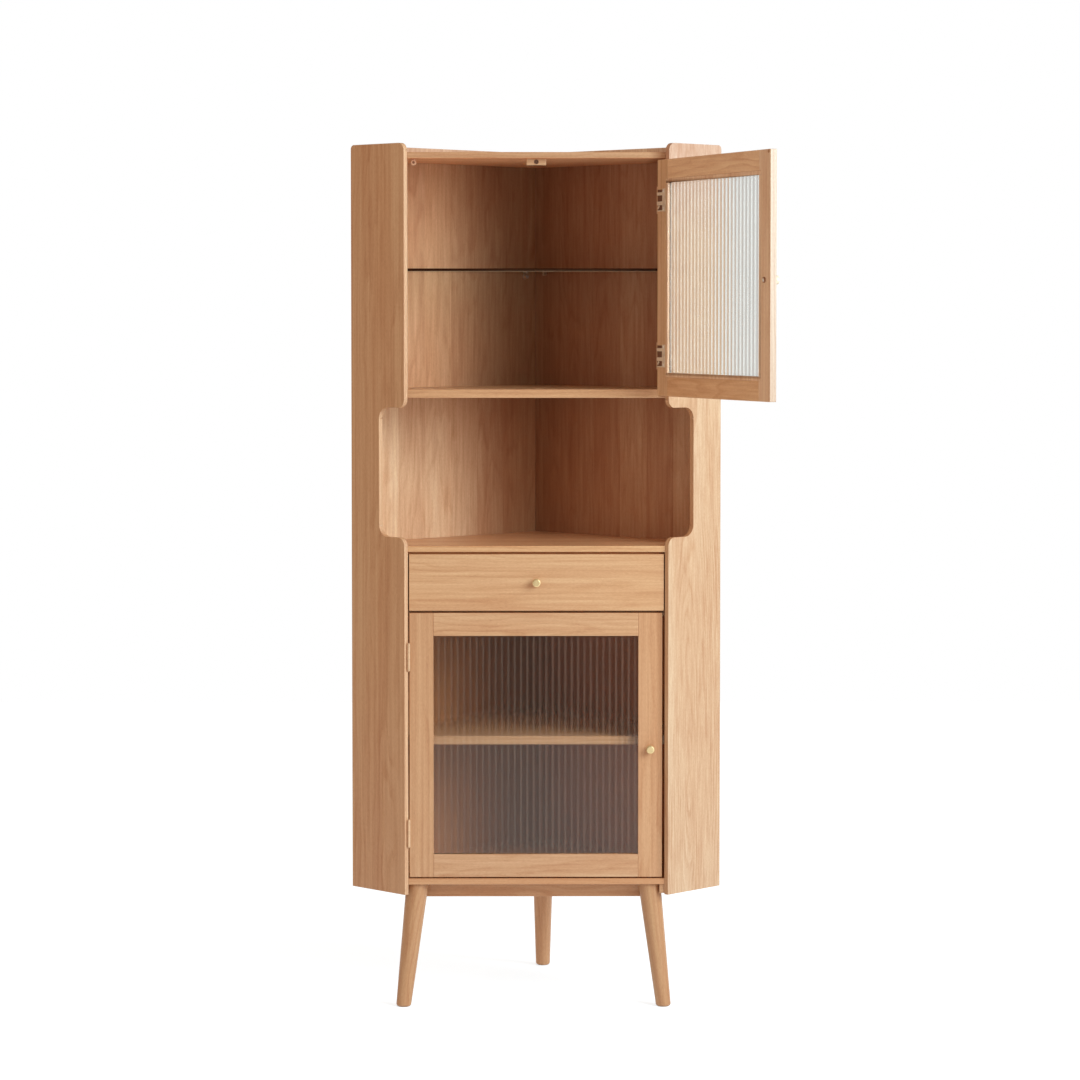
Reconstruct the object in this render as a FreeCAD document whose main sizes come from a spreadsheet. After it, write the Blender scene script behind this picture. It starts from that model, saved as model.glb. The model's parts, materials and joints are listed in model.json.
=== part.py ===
"""Corner cabinet on three splayed legs, in millimetres.

Origin on the floor below the rear corner, where the two back panels meet.
+X to the cabinet's right seen from the front, +Y to the rear, +Z up, so the front faces -Y.
The upper door stands open; the lower door and the drawer are shut.
"""
import FreeCAD, Part
import Sketcher
import os
import re

V = FreeCAD.Vector

# Turns about the upright axis: a back panel runs at 45 degrees from the rear corner,
# and a wing's own X runs square to it, from the wall towards the front
BACK_TURN = -45
WING_TURN = 225

# Driving sizes: name, value, what it is
SIZES = [
    ("wall_leg", 550, "from the rear corner to a wing's outer face, along the wall"),
    ("wing_width", 162, "how far a wing stands out from the wall"),
    ("wing_thick", 10, "wing panel"),
    ("back_thick", 12, "back panel"),
    ("skirt_height", 235.5, "lower edge of the panels above the floor"),
    ("skirt_drop", 20.5, "how far the panels reach below the bottom board"),
    ("gallery", 19, "how far the panels reach above the top board"),
    ("board_thick", 13, "top, counter and bottom boards and drawer bearer"),
    ("shelf_thick", 18, "niche ceiling and lower shelf"),
    ("crown_radius", 16, "rounded upper front corner of a wing"),
    ("crown_wall_radius", 9, "rounded upper corner of a wing at the wall"),
    ("notch_depth", 77, "how far the niche cuts back into a wing"),
    ("notch_sill", 17, "notch's lower edge above the counter"),
    ("notch_lintel", 20, "notch's upper edge below the niche ceiling"),
    ("notch_inner_radius", 25, "rounded inner corners of a notch"),
    ("notch_outer_radius", 18, "rounded front corners of a notch"),
    ("niche_height", 307, "between counter and niche ceiling"),
    ("lower_shelf_rise", 278, "lower shelf above the bottom board"),
    ("glass_shelf_rise", 245, "glass shelf above the niche ceiling"),
    ("glass_shelf_thick", 6, "glass shelf"),
    ("glass_shelf_play", 1.5, "glass shelf to the panels around it"),
    ("shelf_play", 0.5, "wooden shelf and bearer behind the posts"),
    ("post_size", 24, "short sides of a corner post's section"),
    ("door_thick", 14, "doors and drawer front"),
    ("stile_width", 50, "upright members of the door frames"),
    ("rail_height", 48, "cross members of the door frames"),
    ("lip_thick", 5, "frame in front of the glass"),
    ("rebate_width", 8, "how far glass and beads reach into the frame"),
    ("pane_thick", 4, "ribbed glass over its ribs"),
    ("rib_pitch", 13.2, "between the ribs of the glass"),
    ("rib_depth", 1.4, "ribs of the glass"),
    ("rib_land", 0.5, "flat strip between two ribs"),
    ("pane_play", 0.5, "ribbed glass inside its rebate"),
    ("hinge_gap", 2.9, "door to opening on the hinge side"),
    ("free_gap", 5.2, "door to opening on the free side"),
    ("sill_gap", 3, "lower door above the bottom board"),
    ("head_gap", 4.5, "between lower door, drawer front and counter"),
    ("upper_lap", 5, "upper door's lower edge above the ceiling board's underside"),
    ("upper_head_gap", 4, "upper door below the top board"),
    ("lower_door_height", 553, "lower door"),
    ("upper_door_height", 487, "upper door"),
    ("drawer_height", 118, "drawer front"),
    ("drawer_side_gap", 2.2, "drawer front to opening, each side"),
    ("door_open_angle", 112, "how far the upper door stands open"),
    ("hinge_height", 56, "hinge along the pin"),
    ("upper_hinge_inset", 83, "hinge centre from the upper door's ends"),
    ("lower_hinge_inset", 92, "hinge centre from the lower door's ends"),
    ("pin_proud", 3.5, "hinge axis in front of the doors"),
    ("pin_radius", 1.6, "hinge pin"),
    ("pin_cap_radius", 2.6, "rounded end of a hinge pin"),
    ("pin_play", 0.05, "pin in its knuckles"),
    ("knuckle_radius", 3.2, "hinge barrel"),
    ("knuckle_play", 0.3, "between neighbouring knuckles"),
    ("leaf_thick", 1.2, "hinge plate"),
    ("frame_leaf_depth", 19, "hinge plate on the post"),
    ("wrap_width", 40, "hinge plate on the door's inner face"),
    ("wrap_height", 47, "hinge plate on the door's inner face"),
    ("wrap_screw_inset", 8, "door's hinge screws from the plate's far edge"),
    ("frame_screw_inset", 13, "hinge screws behind the front edge of a post"),
    ("leaf_screw_radius", 1.6, "hinge screw"),
    ("leaf_screw_head", 2.8, "hinge screw's countersunk head"),
    ("leaf_screw_length", 10, "hinge screw with its head"),
    ("leaf_screw_pitch", 18, "between hinge screws"),
    ("screw_play", 0.05, "screws in their holes"),
    ("knob_radius", 8.7, "knob"),
    ("knob_head", 8, "thickness of a knob's head"),
    ("knob_round", 3, "rounded edge of a knob's head"),
    ("neck_radius", 4.2, "knob's neck"),
    ("neck_length", 8, "knob's neck"),
    ("knob_screw_radius", 2, "knob screw"),
    ("knob_screw_head", 4, "knob screw's head"),
    ("knob_screw_cap", 2, "thickness of a knob screw's head"),
    ("knob_screw_bite", 9, "how far a knob screw reaches into its knob"),
    ("knob_drop", 8, "a door's knob below the door's middle"),
    ("side_thick", 12, "drawer sides and back"),
    ("box_inset", 32.3, "drawer box to the opening, each side"),
    ("box_rear_gap", 18.4, "drawer box to the back panels"),
    ("box_height", 88, "drawer sides"),
    ("box_rise", 7, "drawer sides above the drawer front's lower edge"),
    ("floor_thick", 6, "drawer bottom"),
    ("floor_rise", 6, "drawer bottom above the sides' lower edge"),
    ("bearer_drop", 1, "drawer bearer below the drawer front"),
    ("guide_thick", 10, "drawer guide"),
    ("guide_height", 60, "drawer guide"),
    ("guide_rear_gap", 7.4, "drawer guides to the back panels"),
    ("slide_space", 10.5, "drawer box to its guide"),
    ("rail_thick", 7.5, "slide rail"),
    ("rail_tall", 30, "slide rail"),
    ("rail_rise", 16, "slide rail above the bearer"),
    ("groove_tall", 16, "groove in the slide rail"),
    ("groove_deep", 5, "groove in the slide rail"),
    ("runner_play", 0.3, "runner in its groove"),
    ("runner_short", 7, "runner shorter than its rail"),
    ("leg_top_radius", 23.5, "leg at the bottom board"),
    ("leg_foot_radius", 15.5, "leg at the floor"),
    ("foot_round", 6, "rounded edge of a foot"),
    ("leg_splay", 29, "how far a foot stands out from its leg's top, each way"),
    ("front_leg_x", 243, "half the way between the tops of the front legs"),
    ("front_leg_shift", 6, "front legs to the left of the middle"),
    ("front_leg_setback", 38, "top of a front leg behind the wings' front corner"),
    ("rear_leg_shift", 16.5, "rear leg to the right of the middle"),
    ("rear_leg_setback", 72, "top of the rear leg in front of the rear corner"),
    ("leg_spare", 12, "length that is trimmed from a turned leg at each end"),
    ("bolt_radius", 4, "leg bolt"),
    ("bolt_head", 9, "leg bolt's head"),
    ("bolt_cap", 2.5, "thickness of a leg bolt's head"),
    ("bolt_bite", 38, "how far a leg bolt reaches into its leg"),
    ("bolt_play", 0.1, "leg bolt in its hole"),
    ("apron_height", 34.5, "front apron"),
    ("apron_thick", 18, "front apron"),
    ("apron_gap", 1, "front apron behind the front legs"),
    ("apron_lap", 17, "front apron past the middle of a front leg"),
    ("shelf_pin_radius", 2.5, "shelf pin"),
    ("shelf_pin_out", 9, "shelf pin under its shelf"),
    ("shelf_pin_in", 6, "shelf pin in its panel"),
    ("shelf_pin_inset", 45, "shelf pin from a panel's end"),
    ("stop_width", 41, "stop block"),
    ("stop_height", 13.5, "stop block"),
    ("stop_depth", 20, "stop block"),
    ("stop_play", 0.5, "stop block and catches to the closed doors"),
    ("magnet_radius", 3.3, "magnet in the stop block"),
    ("magnet_depth", 10, "magnet in the stop block"),
    ("catch_radius", 5.6, "round catch"),
    ("catch_length", 16, "round catch"),
    ("catch_drop", 8, "catch axis below the board that carries it"),
    ("catch_inset", 7.5, "catch axis from the door's free edge"),
    ("catch_foot", 4, "half the width of a catch's foot"),
    ("strike_radius", 3.5, "strike plate"),
    ("strike_thick", 0.8, "strike plate"),
]

# Sizes worked out from the driving ones
DERIVED = [
    ("half_root", "sqrt(0.5)"),
    ("arris_x", "(wall_leg - wing_width) * half_root"),
    ("arris_y", "-(wall_leg + wing_width) * half_root"),
    ("front_x", "arris_x - wing_thick * half_root"),
    ("front_y", "arris_y + wing_thick * half_root"),
    ("door_back_y", "front_y + door_thick"),
    ("post_back_y", "front_y + post_size"),
    ("bottom_z", "skirt_height + skirt_drop"),
    ("bottom_top", "bottom_z + board_thick"),
    ("lower_low", "bottom_top + sill_gap"),
    ("lower_high", "lower_low + lower_door_height"),
    ("drawer_low", "lower_high + head_gap"),
    ("drawer_mid", "drawer_low + drawer_height / 2"),
    ("bearer_top", "drawer_low - bearer_drop"),
    ("counter_z", "drawer_low + drawer_height + head_gap"),
    ("counter_top", "counter_z + board_thick"),
    ("ceiling_z", "counter_top + niche_height"),
    ("ceiling_top", "ceiling_z + shelf_thick"),
    ("notch_low", "counter_top + notch_sill"),
    ("notch_high", "ceiling_z - notch_lintel"),
    ("upper_low", "ceiling_z + upper_lap"),
    ("upper_high", "upper_low + upper_door_height"),
    ("top_z", "upper_high + upper_head_gap"),
    ("top_height", "top_z + board_thick + gallery"),
    ("lower_shelf_z", "bottom_top + lower_shelf_rise"),
    ("glass_shelf_z", "ceiling_top + glass_shelf_rise"),
    ("door_width", "2 * front_x - hinge_gap - free_gap"),
    ("edge", "hinge_gap / 2"),
    ("pin_x", "front_x - edge"),
    ("pin_y", "front_y - pin_proud"),
    ("bore_radius", "pin_radius + pin_play"),
    ("knuckle_tall", "(hinge_height - 2 * knuckle_play) / 3"),
    ("knob_back", "neck_length + knob_head"),
    ("box_half_width", "front_x - box_inset"),
    ("box_depth", "-back_thick / half_root - box_half_width - box_rear_gap - door_back_y"),
    ("guide_x", "box_half_width + slide_space"),
    ("guide_front_y", "post_back_y + shelf_play"),
    ("guide_rear_y", "-back_thick / half_root - guide_x - guide_thick - guide_rear_gap"),
    ("guide_length", "guide_rear_y - guide_front_y"),
    ("upper_knob_z", "(upper_low + upper_high) / 2 - knob_drop"),
    ("lower_knob_z", "(lower_low + lower_high) / 2 - knob_drop"),
    ("rail_z", "bearer_top + rail_rise"),
    ("box_low", "drawer_low + box_rise"),
    ("front_leg_y", "arris_y + front_leg_setback"),
]

doc = FreeCAD.newDocument("corner_cabinet")
sizes = doc.addObject("Spreadsheet::Sheet", "sizes")


def write_sizes():
    """Write the driving sizes and the worked-out ones into the sheet, one row each."""
    rows = [(name, str(value), note) for name, value, note in SIZES]
    rows += [(name, "=" + formula, "worked out") for name, formula in DERIVED]
    for row, (name, text, note) in enumerate(rows, start=1):
        sizes.set(f"A{row}", name)
        sizes.set(f"B{row}", text)
        sizes.set(f"C{row}", note)
        sizes.setAlias(f"B{row}", name)
    doc.recompute()


def in_sheet(formula):
    """The formula with every size named as a cell of the sheet."""
    return re.sub(r"\b(?!sqrt|atan|sin|cos|tan)([a-z][a-z_]*)\b", r"sizes.\1", str(formula))


def value_of(formula):
    """What a formula of sizes comes to now."""
    found = sizes.evalExpression(in_sheet(formula))
    return float(getattr(found, "Value", found))


def bind(obj, prop, formula):
    """Tie a property to a formula of sizes."""
    obj.setExpression(prop, in_sheet(formula))


def bind_place(obj, x, y, z):
    """Tie where an object stands to formulas of sizes."""
    bind(obj, "Placement.Base.x", x)
    bind(obj, "Placement.Base.y", y)
    bind(obj, "Placement.Base.z", z)


def named(obj, label):
    """Mark an object as a sub-part: its label is the sub-part's name."""
    obj.Label = label
    PIECES.append(obj)
    return obj


PIECES = []
AXIS_TURNS = {
    "+z": FreeCAD.Rotation(),
    "-z": FreeCAD.Rotation(V(1, 0, 0), 180),
    "+y": FreeCAD.Rotation(V(1, 0, 0), -90),
    "-y": FreeCAD.Rotation(V(1, 0, 0), 90),
    "+x": FreeCAD.Rotation(V(0, 1, 0), 90),
    "-x": FreeCAD.Rotation(V(0, 1, 0), -90),
}


def upright_turn(degrees):
    return FreeCAD.Rotation(V(0, 0, 1), degrees)


def new_body(name):
    return doc.addObject("PartDesign::Body", name)


def add_box(body, x, y, z, dx, dy, dz, cut=False):
    """A block added to a body, or cut from it; x, y, z is its lowest corner."""
    kind = "Subtractive" if cut else "Additive"
    block = body.newObject(f"PartDesign::{kind}Box", "Block")
    bind(block, "Length", dx)
    bind(block, "Width", dy)
    bind(block, "Height", dz)
    bind_place(block, x, y, z)
    return block


def add_rod(body, x, y, z, radius, length, axis="+z", cut=False):
    """A round rod added to a body, or cut from it, from x, y, z along the axis."""
    kind = "Subtractive" if cut else "Additive"
    rod = body.newObject(f"PartDesign::{kind}Cylinder", "Rod")
    bind(rod, "Radius", radius)
    bind(rod, "Height", length)
    rod.Placement = FreeCAD.Placement(V(), AXIS_TURNS[axis])
    bind_place(rod, x, y, z)
    return rod


def add_cone(body, x, y, z, wide, narrow, length, axis, cut=False):
    """A cone added to a body, or cut from it, from its wide end along the axis."""
    kind = "Subtractive" if cut else "Additive"
    cone = body.newObject(f"PartDesign::{kind}Cone", "Cone")
    bind(cone, "Radius1", wide)
    bind(cone, "Radius2", narrow)
    bind(cone, "Height", length)
    cone.Placement = FreeCAD.Placement(V(), AXIS_TURNS[axis])
    bind_place(cone, x, y, z)
    return cone


def sketch_outline(body, role, points, offset="0"):
    """A closed outline through points given as formulas, on one of the body's origin planes."""
    sketch = body.newObject("Sketcher::SketchObject", "Outline")
    plane = [item for item in body.Origin.OriginFeatures if item.Role == role][0]
    sketch.AttachmentSupport = [(plane, "")]
    sketch.MapMode = "FlatFace"
    bind(sketch, "AttachmentOffset.Base.z", offset)
    corners = [V(value_of(across), value_of(along), 0) for across, along in points]
    count = len(corners)
    for index in range(count):
        sketch.addGeometry(Part.LineSegment(corners[index], corners[(index + 1) % count]))
    for index in range(count):
        sketch.addConstraint(Sketcher.Constraint("Coincident", index, 2, (index + 1) % count, 1))
    for index, formulas in enumerate(points):
        for kind, own_axis, formula in (("DistanceX", -2, formulas[0]), ("DistanceY", -1, formulas[1])):
            if formula == "0":
                sketch.addConstraint(Sketcher.Constraint("PointOnObject", index, 1, own_axis))
                continue
            rule = Sketcher.Constraint(kind, -1, 1, index, 1, value_of(formula))
            number = sketch.addConstraint(rule)
            sketch.setExpression(f"Constraints[{number}]", in_sheet(formula))
    return sketch


def pad(body, sketch, length, reverse=False):
    feature = body.newObject("PartDesign::Pad", "Pad")
    feature.Profile = sketch
    feature.Reversed = reverse
    bind(feature, "Length", length)
    return feature


def slab(name, points, low, thick):
    """A board of the given plan outline, from the height low upwards."""
    body = new_body(name)
    pad(body, sketch_outline(body, "XY_Plane", points, low), thick)
    return body


def round_edges(body, spots, radius):
    """Round the edges of a body whose middles lie nearest to the spots."""
    doc.recompute()
    tip = body.Tip
    chosen = []
    for spot in spots:
        target = V(*[value_of(part) for part in spot])
        gaps = [edge.CenterOfMass.distanceToPoint(target) for edge in tip.Shape.Edges]
        chosen.append(f"Edge{gaps.index(min(gaps)) + 1}")
    fillet = body.newObject("PartDesign::Fillet", "Rounding")
    fillet.Base = (tip, chosen)
    bind(fillet, "Radius", radius)
    return fillet


def mirrored(source, label):
    """The same piece on the cabinet's other side."""
    twin = doc.addObject("Part::Mirroring", label)
    twin.Source = source
    twin.Normal = V(1, 0, 0)
    return named(twin, label)


def group(items, label):
    """Like solids that share one node."""
    bundle = doc.addObject("Part::Compound", label)
    bundle.Links = items
    return named(bundle, label)


def mirrored_pair(source, label):
    """A piece and its mirror image as one node of two solids."""
    twin = doc.addObject("Part::Mirroring", label + "_twin")
    twin.Source = source
    twin.Normal = V(1, 0, 0)
    return group([source, twin], label)


def room_plan(front):
    """The space between the panels, up to a front line at y = front, as plan points."""
    side_x = "(wall_leg - wing_thick - back_thick) * half_root"
    side_y = "-(wall_leg - wing_thick + back_thick) * half_root"
    front_side = f"front_x + ({front}) - front_y"
    return [
        ("0", "-back_thick / half_root"),
        (side_x, side_y),
        (front_side, front),
        (f"-({front_side})", front),
        (f"-({side_x})", side_y),
    ]


def wall_point(along, inward):
    """Plan point of the right wall, from its distance along the wall and into the room."""
    return (f"({along} - {inward}) * half_root", f"-({along} + {inward}) * half_root")


def make_panels():
    """Two back panels mitred in the rear corner, two wings with a notch at the niche."""
    length = "(wall_leg - wing_thick)"
    plan = [("0", "0"), wall_point(length, "0"), wall_point(length, "back_thick")]
    plan.append(("0", "-back_thick / half_root"))
    right_back = named(slab("right_back_panel", plan, "skirt_height", "top_height - skirt_height"),
                       "right_back_panel")
    shelf_pin_holes(right_back, "back")
    mirrored(right_back, "left_back_panel")

    wing = new_body("right_wing_panel")
    inner = "wing_width - notch_depth"
    outline = [
        ("0", "skirt_height"),
        ("wing_width", "skirt_height"),
        ("wing_width", "notch_low"),
        (inner, "notch_low"),
        (inner, "notch_high"),
        ("wing_width", "notch_high"),
        ("wing_width", "top_height"),
        ("0", "top_height"),
    ]
    pad(wing, sketch_outline(wing, "XZ_Plane", outline), "wing_thick")
    middle = "-wing_thick / 2"
    round_edges(wing, [(inner, middle, "notch_low"), (inner, middle, "notch_high")], "notch_inner_radius")
    fronts = [("wing_width", middle, "notch_low"), ("wing_width", middle, "notch_high")]
    round_edges(wing, fronts, "notch_outer_radius")
    round_edges(wing, [("wing_width", middle, "top_height")], "crown_radius")
    round_edges(wing, [("0", middle, "top_height")], "crown_wall_radius")
    shelf_pin_holes(wing, "wing")
    wing.Placement = FreeCAD.Placement(V(), upright_turn(WING_TURN))
    bind_place(wing, "wall_leg * half_root", "-wall_leg * half_root", "0")
    mirrored(named(wing, "right_wing_panel"), "left_wing_panel")


def shelf_levels():
    """Undersides of the two shelves that lie on pins."""
    return ("lower_shelf_z", "glass_shelf_z")


def shelf_pin_holes(panel, which):
    """Holes for the shelf pins, in a wing's own frame or in a back panel's place."""
    reach = "shelf_pin_in + shelf_pin_out"
    for level in shelf_levels():
        height = f"{level} - shelf_pin_radius"
        if which == "wing":
            along = "wing_width - post_size / half_root - shelf_pin_inset"
            add_rod(panel, along, "-wing_thick - shelf_pin_out", height,
                    "shelf_pin_radius", reach, "+y", cut=True)
            continue
        hole = add_rod(panel, "0", "0", height, "shelf_pin_radius", reach, "+y", cut=True)
        place_on_back(hole, height)


def place_on_back(rod, height):
    """Put a shelf pin, or its hole, into the right back panel near the rear corner."""
    rod.Placement = FreeCAD.Placement(V(), upright_turn(BACK_TURN).multiply(AXIS_TURNS["+y"]))
    along, across = wall_point("shelf_pin_inset", "(back_thick + shelf_pin_out)")
    bind_place(rod, along, across, height)


def pin_on_wing(name, height):
    """A shelf pin in the right wing."""
    pin = doc.addObject("Part::Cylinder", name)
    bind(pin, "Radius", "shelf_pin_radius")
    bind(pin, "Height", "shelf_pin_in + shelf_pin_out")
    pin.Placement = FreeCAD.Placement(V(), upright_turn(WING_TURN).multiply(AXIS_TURNS["+y"]))
    along = "(wing_width - post_size / half_root - shelf_pin_inset)"
    depth = "(wing_thick + shelf_pin_out)"
    bind_place(pin, f"(wall_leg - {along} - {depth}) * half_root",
               f"-(wall_leg + {along} - {depth}) * half_root", height)
    return pin


def make_shelf_pins():
    """Four pins under each shelf: two in the wings, two in the back panels."""
    for level, label in zip(shelf_levels(), ("lower_shelf_pins", "glass_shelf_pins")):
        height = f"{level} - shelf_pin_radius"
        front_pin = pin_on_wing(label + "_front", height)
        rear_pin = doc.addObject("Part::Cylinder", label + "_rear")
        bind(rear_pin, "Radius", "shelf_pin_radius")
        bind(rear_pin, "Height", "shelf_pin_in + shelf_pin_out")
        place_on_back(rear_pin, height)
        pins = [front_pin, rear_pin]
        for pin in list(pins):
            twin = doc.addObject("Part::Mirroring", pin.Label + "_twin")
            twin.Source = pin
            twin.Normal = V(1, 0, 0)
            pins.append(twin)
        group(pins, label)


def make_boards():
    """The level boards between the panels, from the bottom up."""
    behind_posts = "post_back_y + shelf_play"
    bottom = named(slab("bottom_board", room_plan("front_y"), "bottom_z", "board_thick"), "bottom_board")
    for x, y in leg_tops():
        add_rod(bottom, x, y, "bottom_z", "bolt_radius + bolt_play", "board_thick", cut=True)
    named(slab("lower_shelf", room_plan(behind_posts), "lower_shelf_z", "shelf_thick"), "lower_shelf")
    bearer = slab("drawer_bearer", room_plan(behind_posts), "bearer_top - board_thick", "board_thick")
    named(bearer, "drawer_bearer")
    named(slab("counter_board", room_plan("front_y"), "counter_z", "board_thick"), "counter_board")
    behind_door = "door_back_y + stop_play"
    ceiling = slab("niche_ceiling_board", room_plan(behind_door), "ceiling_z", "shelf_thick")
    named(ceiling, "niche_ceiling_board")
    named(slab("top_board", room_plan("front_y"), "top_z", "board_thick"), "top_board")
    inset = [
        ("0", "-(back_thick + glass_shelf_play) / half_root"),
        ("(wall_leg - wing_thick - back_thick - 2 * glass_shelf_play) * half_root",
         "-(wall_leg - wing_thick + back_thick) * half_root"),
        ("front_x - glass_shelf_play / half_root + post_size + shelf_play", behind_posts),
    ]
    outline = inset + [(f"-({x})", y) for x, y in reversed(inset[1:])]
    named(slab("glass_shelf", outline, "glass_shelf_z", "glass_shelf_thick"), "glass_shelf")


def make_posts():
    """Four triangular posts glued behind the wings' front edges; they carry the hinges."""
    plan = [
        ("front_x", "front_y"),
        ("front_x + post_size", "post_back_y"),
        ("front_x", "post_back_y"),
    ]
    spans = (
        ("lower", "bottom_top", "counter_z", "left"),
        ("upper", "ceiling_top", "top_z", "right"),
    )
    for level, low, high, hinge_side in spans:
        other = "left" if hinge_side == "right" else "right"
        drilled = slab(f"{level}_{hinge_side}_post", plan, low, f"{high} - {low}")
        for height in hinge_heights(level):
            for step in (-1, 1):
                z = f"{height} + {step} * leaf_screw_pitch"
                add_rod(drilled, "front_x", "front_y + frame_screw_inset", z,
                        "leaf_screw_radius + screw_play", "leaf_screw_length - leaf_thick + screw_play",
                        "+x", cut=True)
        plain = slab(f"{level}_{other}_post", plan, low, f"{high} - {low}")
        for body, side in ((drilled, hinge_side), (plain, other)):
            if side == "right":
                named(body, f"{level}_right_post")
            else:
                body.Label = f"{level}_{side}_post_as_right"
                mirrored(body, f"{level}_left_post")


def hinge_heights(level):
    """Middles of a door's two hinges."""
    return (f"{level}_low + {level}_hinge_inset", f"{level}_high - {level}_hinge_inset")


def leg_tops():
    """Plan points of the three leg tops: front right, front left, rear."""
    return (
        ("front_leg_x - front_leg_shift", "front_leg_y"),
        ("-front_leg_x - front_leg_shift", "front_leg_y"),
        ("rear_leg_shift", "-rear_leg_setback"),
    )


def make_leg(label, top, lean):
    """A round tapered leg that leans from its foot to its top, flat on the floor and at the board."""
    lean_x, lean_y = lean
    run = f"sqrt(({lean_x}) * ({lean_x}) + ({lean_y}) * ({lean_y}))"
    length = f"sqrt(bottom_z * bottom_z + {run} * {run})"
    taper = f"(leg_top_radius - leg_foot_radius) * leg_spare / {length}"
    turned = doc.addObject("Part::Cone", label + "_turned")
    bind(turned, "Radius1", f"leg_foot_radius - {taper}")
    bind(turned, "Radius2", f"leg_top_radius + {taper}")
    bind(turned, "Height", f"{length} + 2 * leg_spare")
    spare = f"leg_spare / {length}"
    bind_place(turned, f"{top[0]} - ({lean_x}) * (1 + {spare})", f"{top[1]} - ({lean_y}) * (1 + {spare})",
               f"-bottom_z * {spare}")
    bind(turned, "Placement.Rotation.Axis.x", f"-({lean_y}) / {run}")
    bind(turned, "Placement.Rotation.Axis.y", f"({lean_x}) / {run}")
    bind(turned, "Placement.Rotation.Axis.z", "0")
    bind(turned, "Placement.Rotation.Angle", f"atan({run} / bottom_z)")
    layer = doc.addObject("Part::Box", label + "_layer")
    reach = "(leg_top_radius + leg_splay + leg_spare)"
    bind(layer, "Length", f"2 * {reach}")
    bind(layer, "Width", f"2 * {reach}")
    bind(layer, "Height", "bottom_z")
    bind_place(layer, f"{top[0]} - {reach}", f"{top[1]} - {reach}", "0")
    trimmed = doc.addObject("Part::Common", label + "_trimmed")
    trimmed.Base = turned
    trimmed.Tool = layer
    hole = doc.addObject("Part::Cylinder", label + "_hole")
    bind(hole, "Radius", "bolt_radius + bolt_play")
    bind(hole, "Height", "bolt_bite + bolt_play")
    bind_place(hole, top[0], top[1], "bottom_z - bolt_bite - bolt_play")
    drilled = doc.addObject("Part::Cut", label + "_drilled")
    drilled.Base = trimmed
    drilled.Tool = hole
    doc.recompute()
    edges = drilled.Shape.Edges
    lows = [number for number, edge in enumerate(edges, start=1)
            if edge.BoundBox.ZMax < value_of("foot_round")]
    leg = doc.addObject("Part::Fillet", label)
    leg.Base = drilled
    radius = value_of("foot_round")
    leg.Edges = [(number, radius, radius) for number in lows]
    return named(leg, label)


def make_legs():
    """Two front legs and one rear leg, their bolts, and the apron behind the front legs."""
    right, left, rear = leg_tops()
    make_leg("front_right_leg", right, ("-leg_splay", "leg_splay"))
    make_leg("front_left_leg", left, ("leg_splay", "leg_splay"))
    make_leg("rear_leg", rear, ("0", "-leg_splay"))
    bolts = []
    for index, (x, y) in enumerate(leg_tops()):
        bolt = new_body(f"leg_bolt_{index}")
        add_rod(bolt, x, y, "bottom_z - bolt_bite", "bolt_radius", "bolt_bite + board_thick")
        add_rod(bolt, x, y, "bottom_top", "bolt_head", "bolt_cap")
        bolts.append(bolt)
    group(bolts, "leg_bolts")
    apron = new_body("front_apron")
    half = "(front_leg_x + apron_lap)"
    add_box(apron, f"-{half} - front_leg_shift", "front_leg_y + leg_top_radius + apron_gap",
            "bottom_z - apron_height", f"2 * {half}", "apron_thick", "apron_height")
    named(apron, "front_apron")


def make_stop_and_catches():
    """The stop block with its magnet under the top board, and a round catch for each door."""
    front = "door_back_y + stop_play"
    block = new_body("stop_block")
    add_box(block, "-stop_width / 2", front, "top_z - stop_height", "stop_width", "stop_depth", "stop_height")
    add_rod(block, "0", front, "top_z - stop_height / 2", "magnet_radius", "magnet_depth", "+y", cut=True)
    named(block, "stop_block")
    magnet = new_body("stop_magnet")
    add_rod(magnet, "0", front, "top_z - stop_height / 2", "magnet_radius", "magnet_depth", "+y")
    named(magnet, "stop_magnet")
    catches = []
    reach = "(door_width + edge - catch_inset)"
    for name, x, board in (
        ("upper_catch", f"pin_x - {reach}", "top_z"),
        ("lower_catch", f"-pin_x + {reach}", "bearer_top - board_thick"),
    ):
        catch = new_body(name)
        ledge = f"({board} - catch_drop)"
        add_rod(catch, x, "door_back_y + strike_thick + stop_play", ledge,
                "catch_radius", "catch_length", "+y")
        add_box(catch, f"{x} - catch_foot", "post_back_y + shelf_play", ledge, "2 * catch_foot",
                "catch_length / 2", "catch_drop")
        catches.append(catch)
    group(catches, "door_catches")


def along_door(hand, start, length):
    """Lowest x of a stretch of a door, measured from its pin; hand is 1 when the pin is on the left."""
    if hand > 0:
        return start
    return f"-({start} + {length})"


def hang(obj, hand):
    """Put a piece that is drawn from the hinge pin into its place on the cabinet."""
    if hand < 0:
        obj.Placement = FreeCAD.Placement(V(), upright_turn(value_of("door_open_angle")))
        bind(obj, "Placement.Rotation.Angle", "door_open_angle")
    bind_place(obj, "-pin_x" if hand > 0 else "pin_x", "pin_y", "0")


def wrap_screw_x(hand):
    """Where the door's hinge screws sit, from the pin."""
    return f"{hand} * (edge + wrap_width - wrap_screw_inset)"


def drill_for_leaves(body, level, hand):
    """Holes for the hinge screws in a hinge stile."""
    for height in hinge_heights(level):
        for step in (-1, 1):
            add_rod(body, wrap_screw_x(hand), "pin_proud + door_thick",
                    f"{height} + {step} * leaf_screw_pitch", "leaf_screw_radius + screw_play",
                    "leaf_screw_length - leaf_thick + screw_play", "-y", cut=True)


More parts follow.
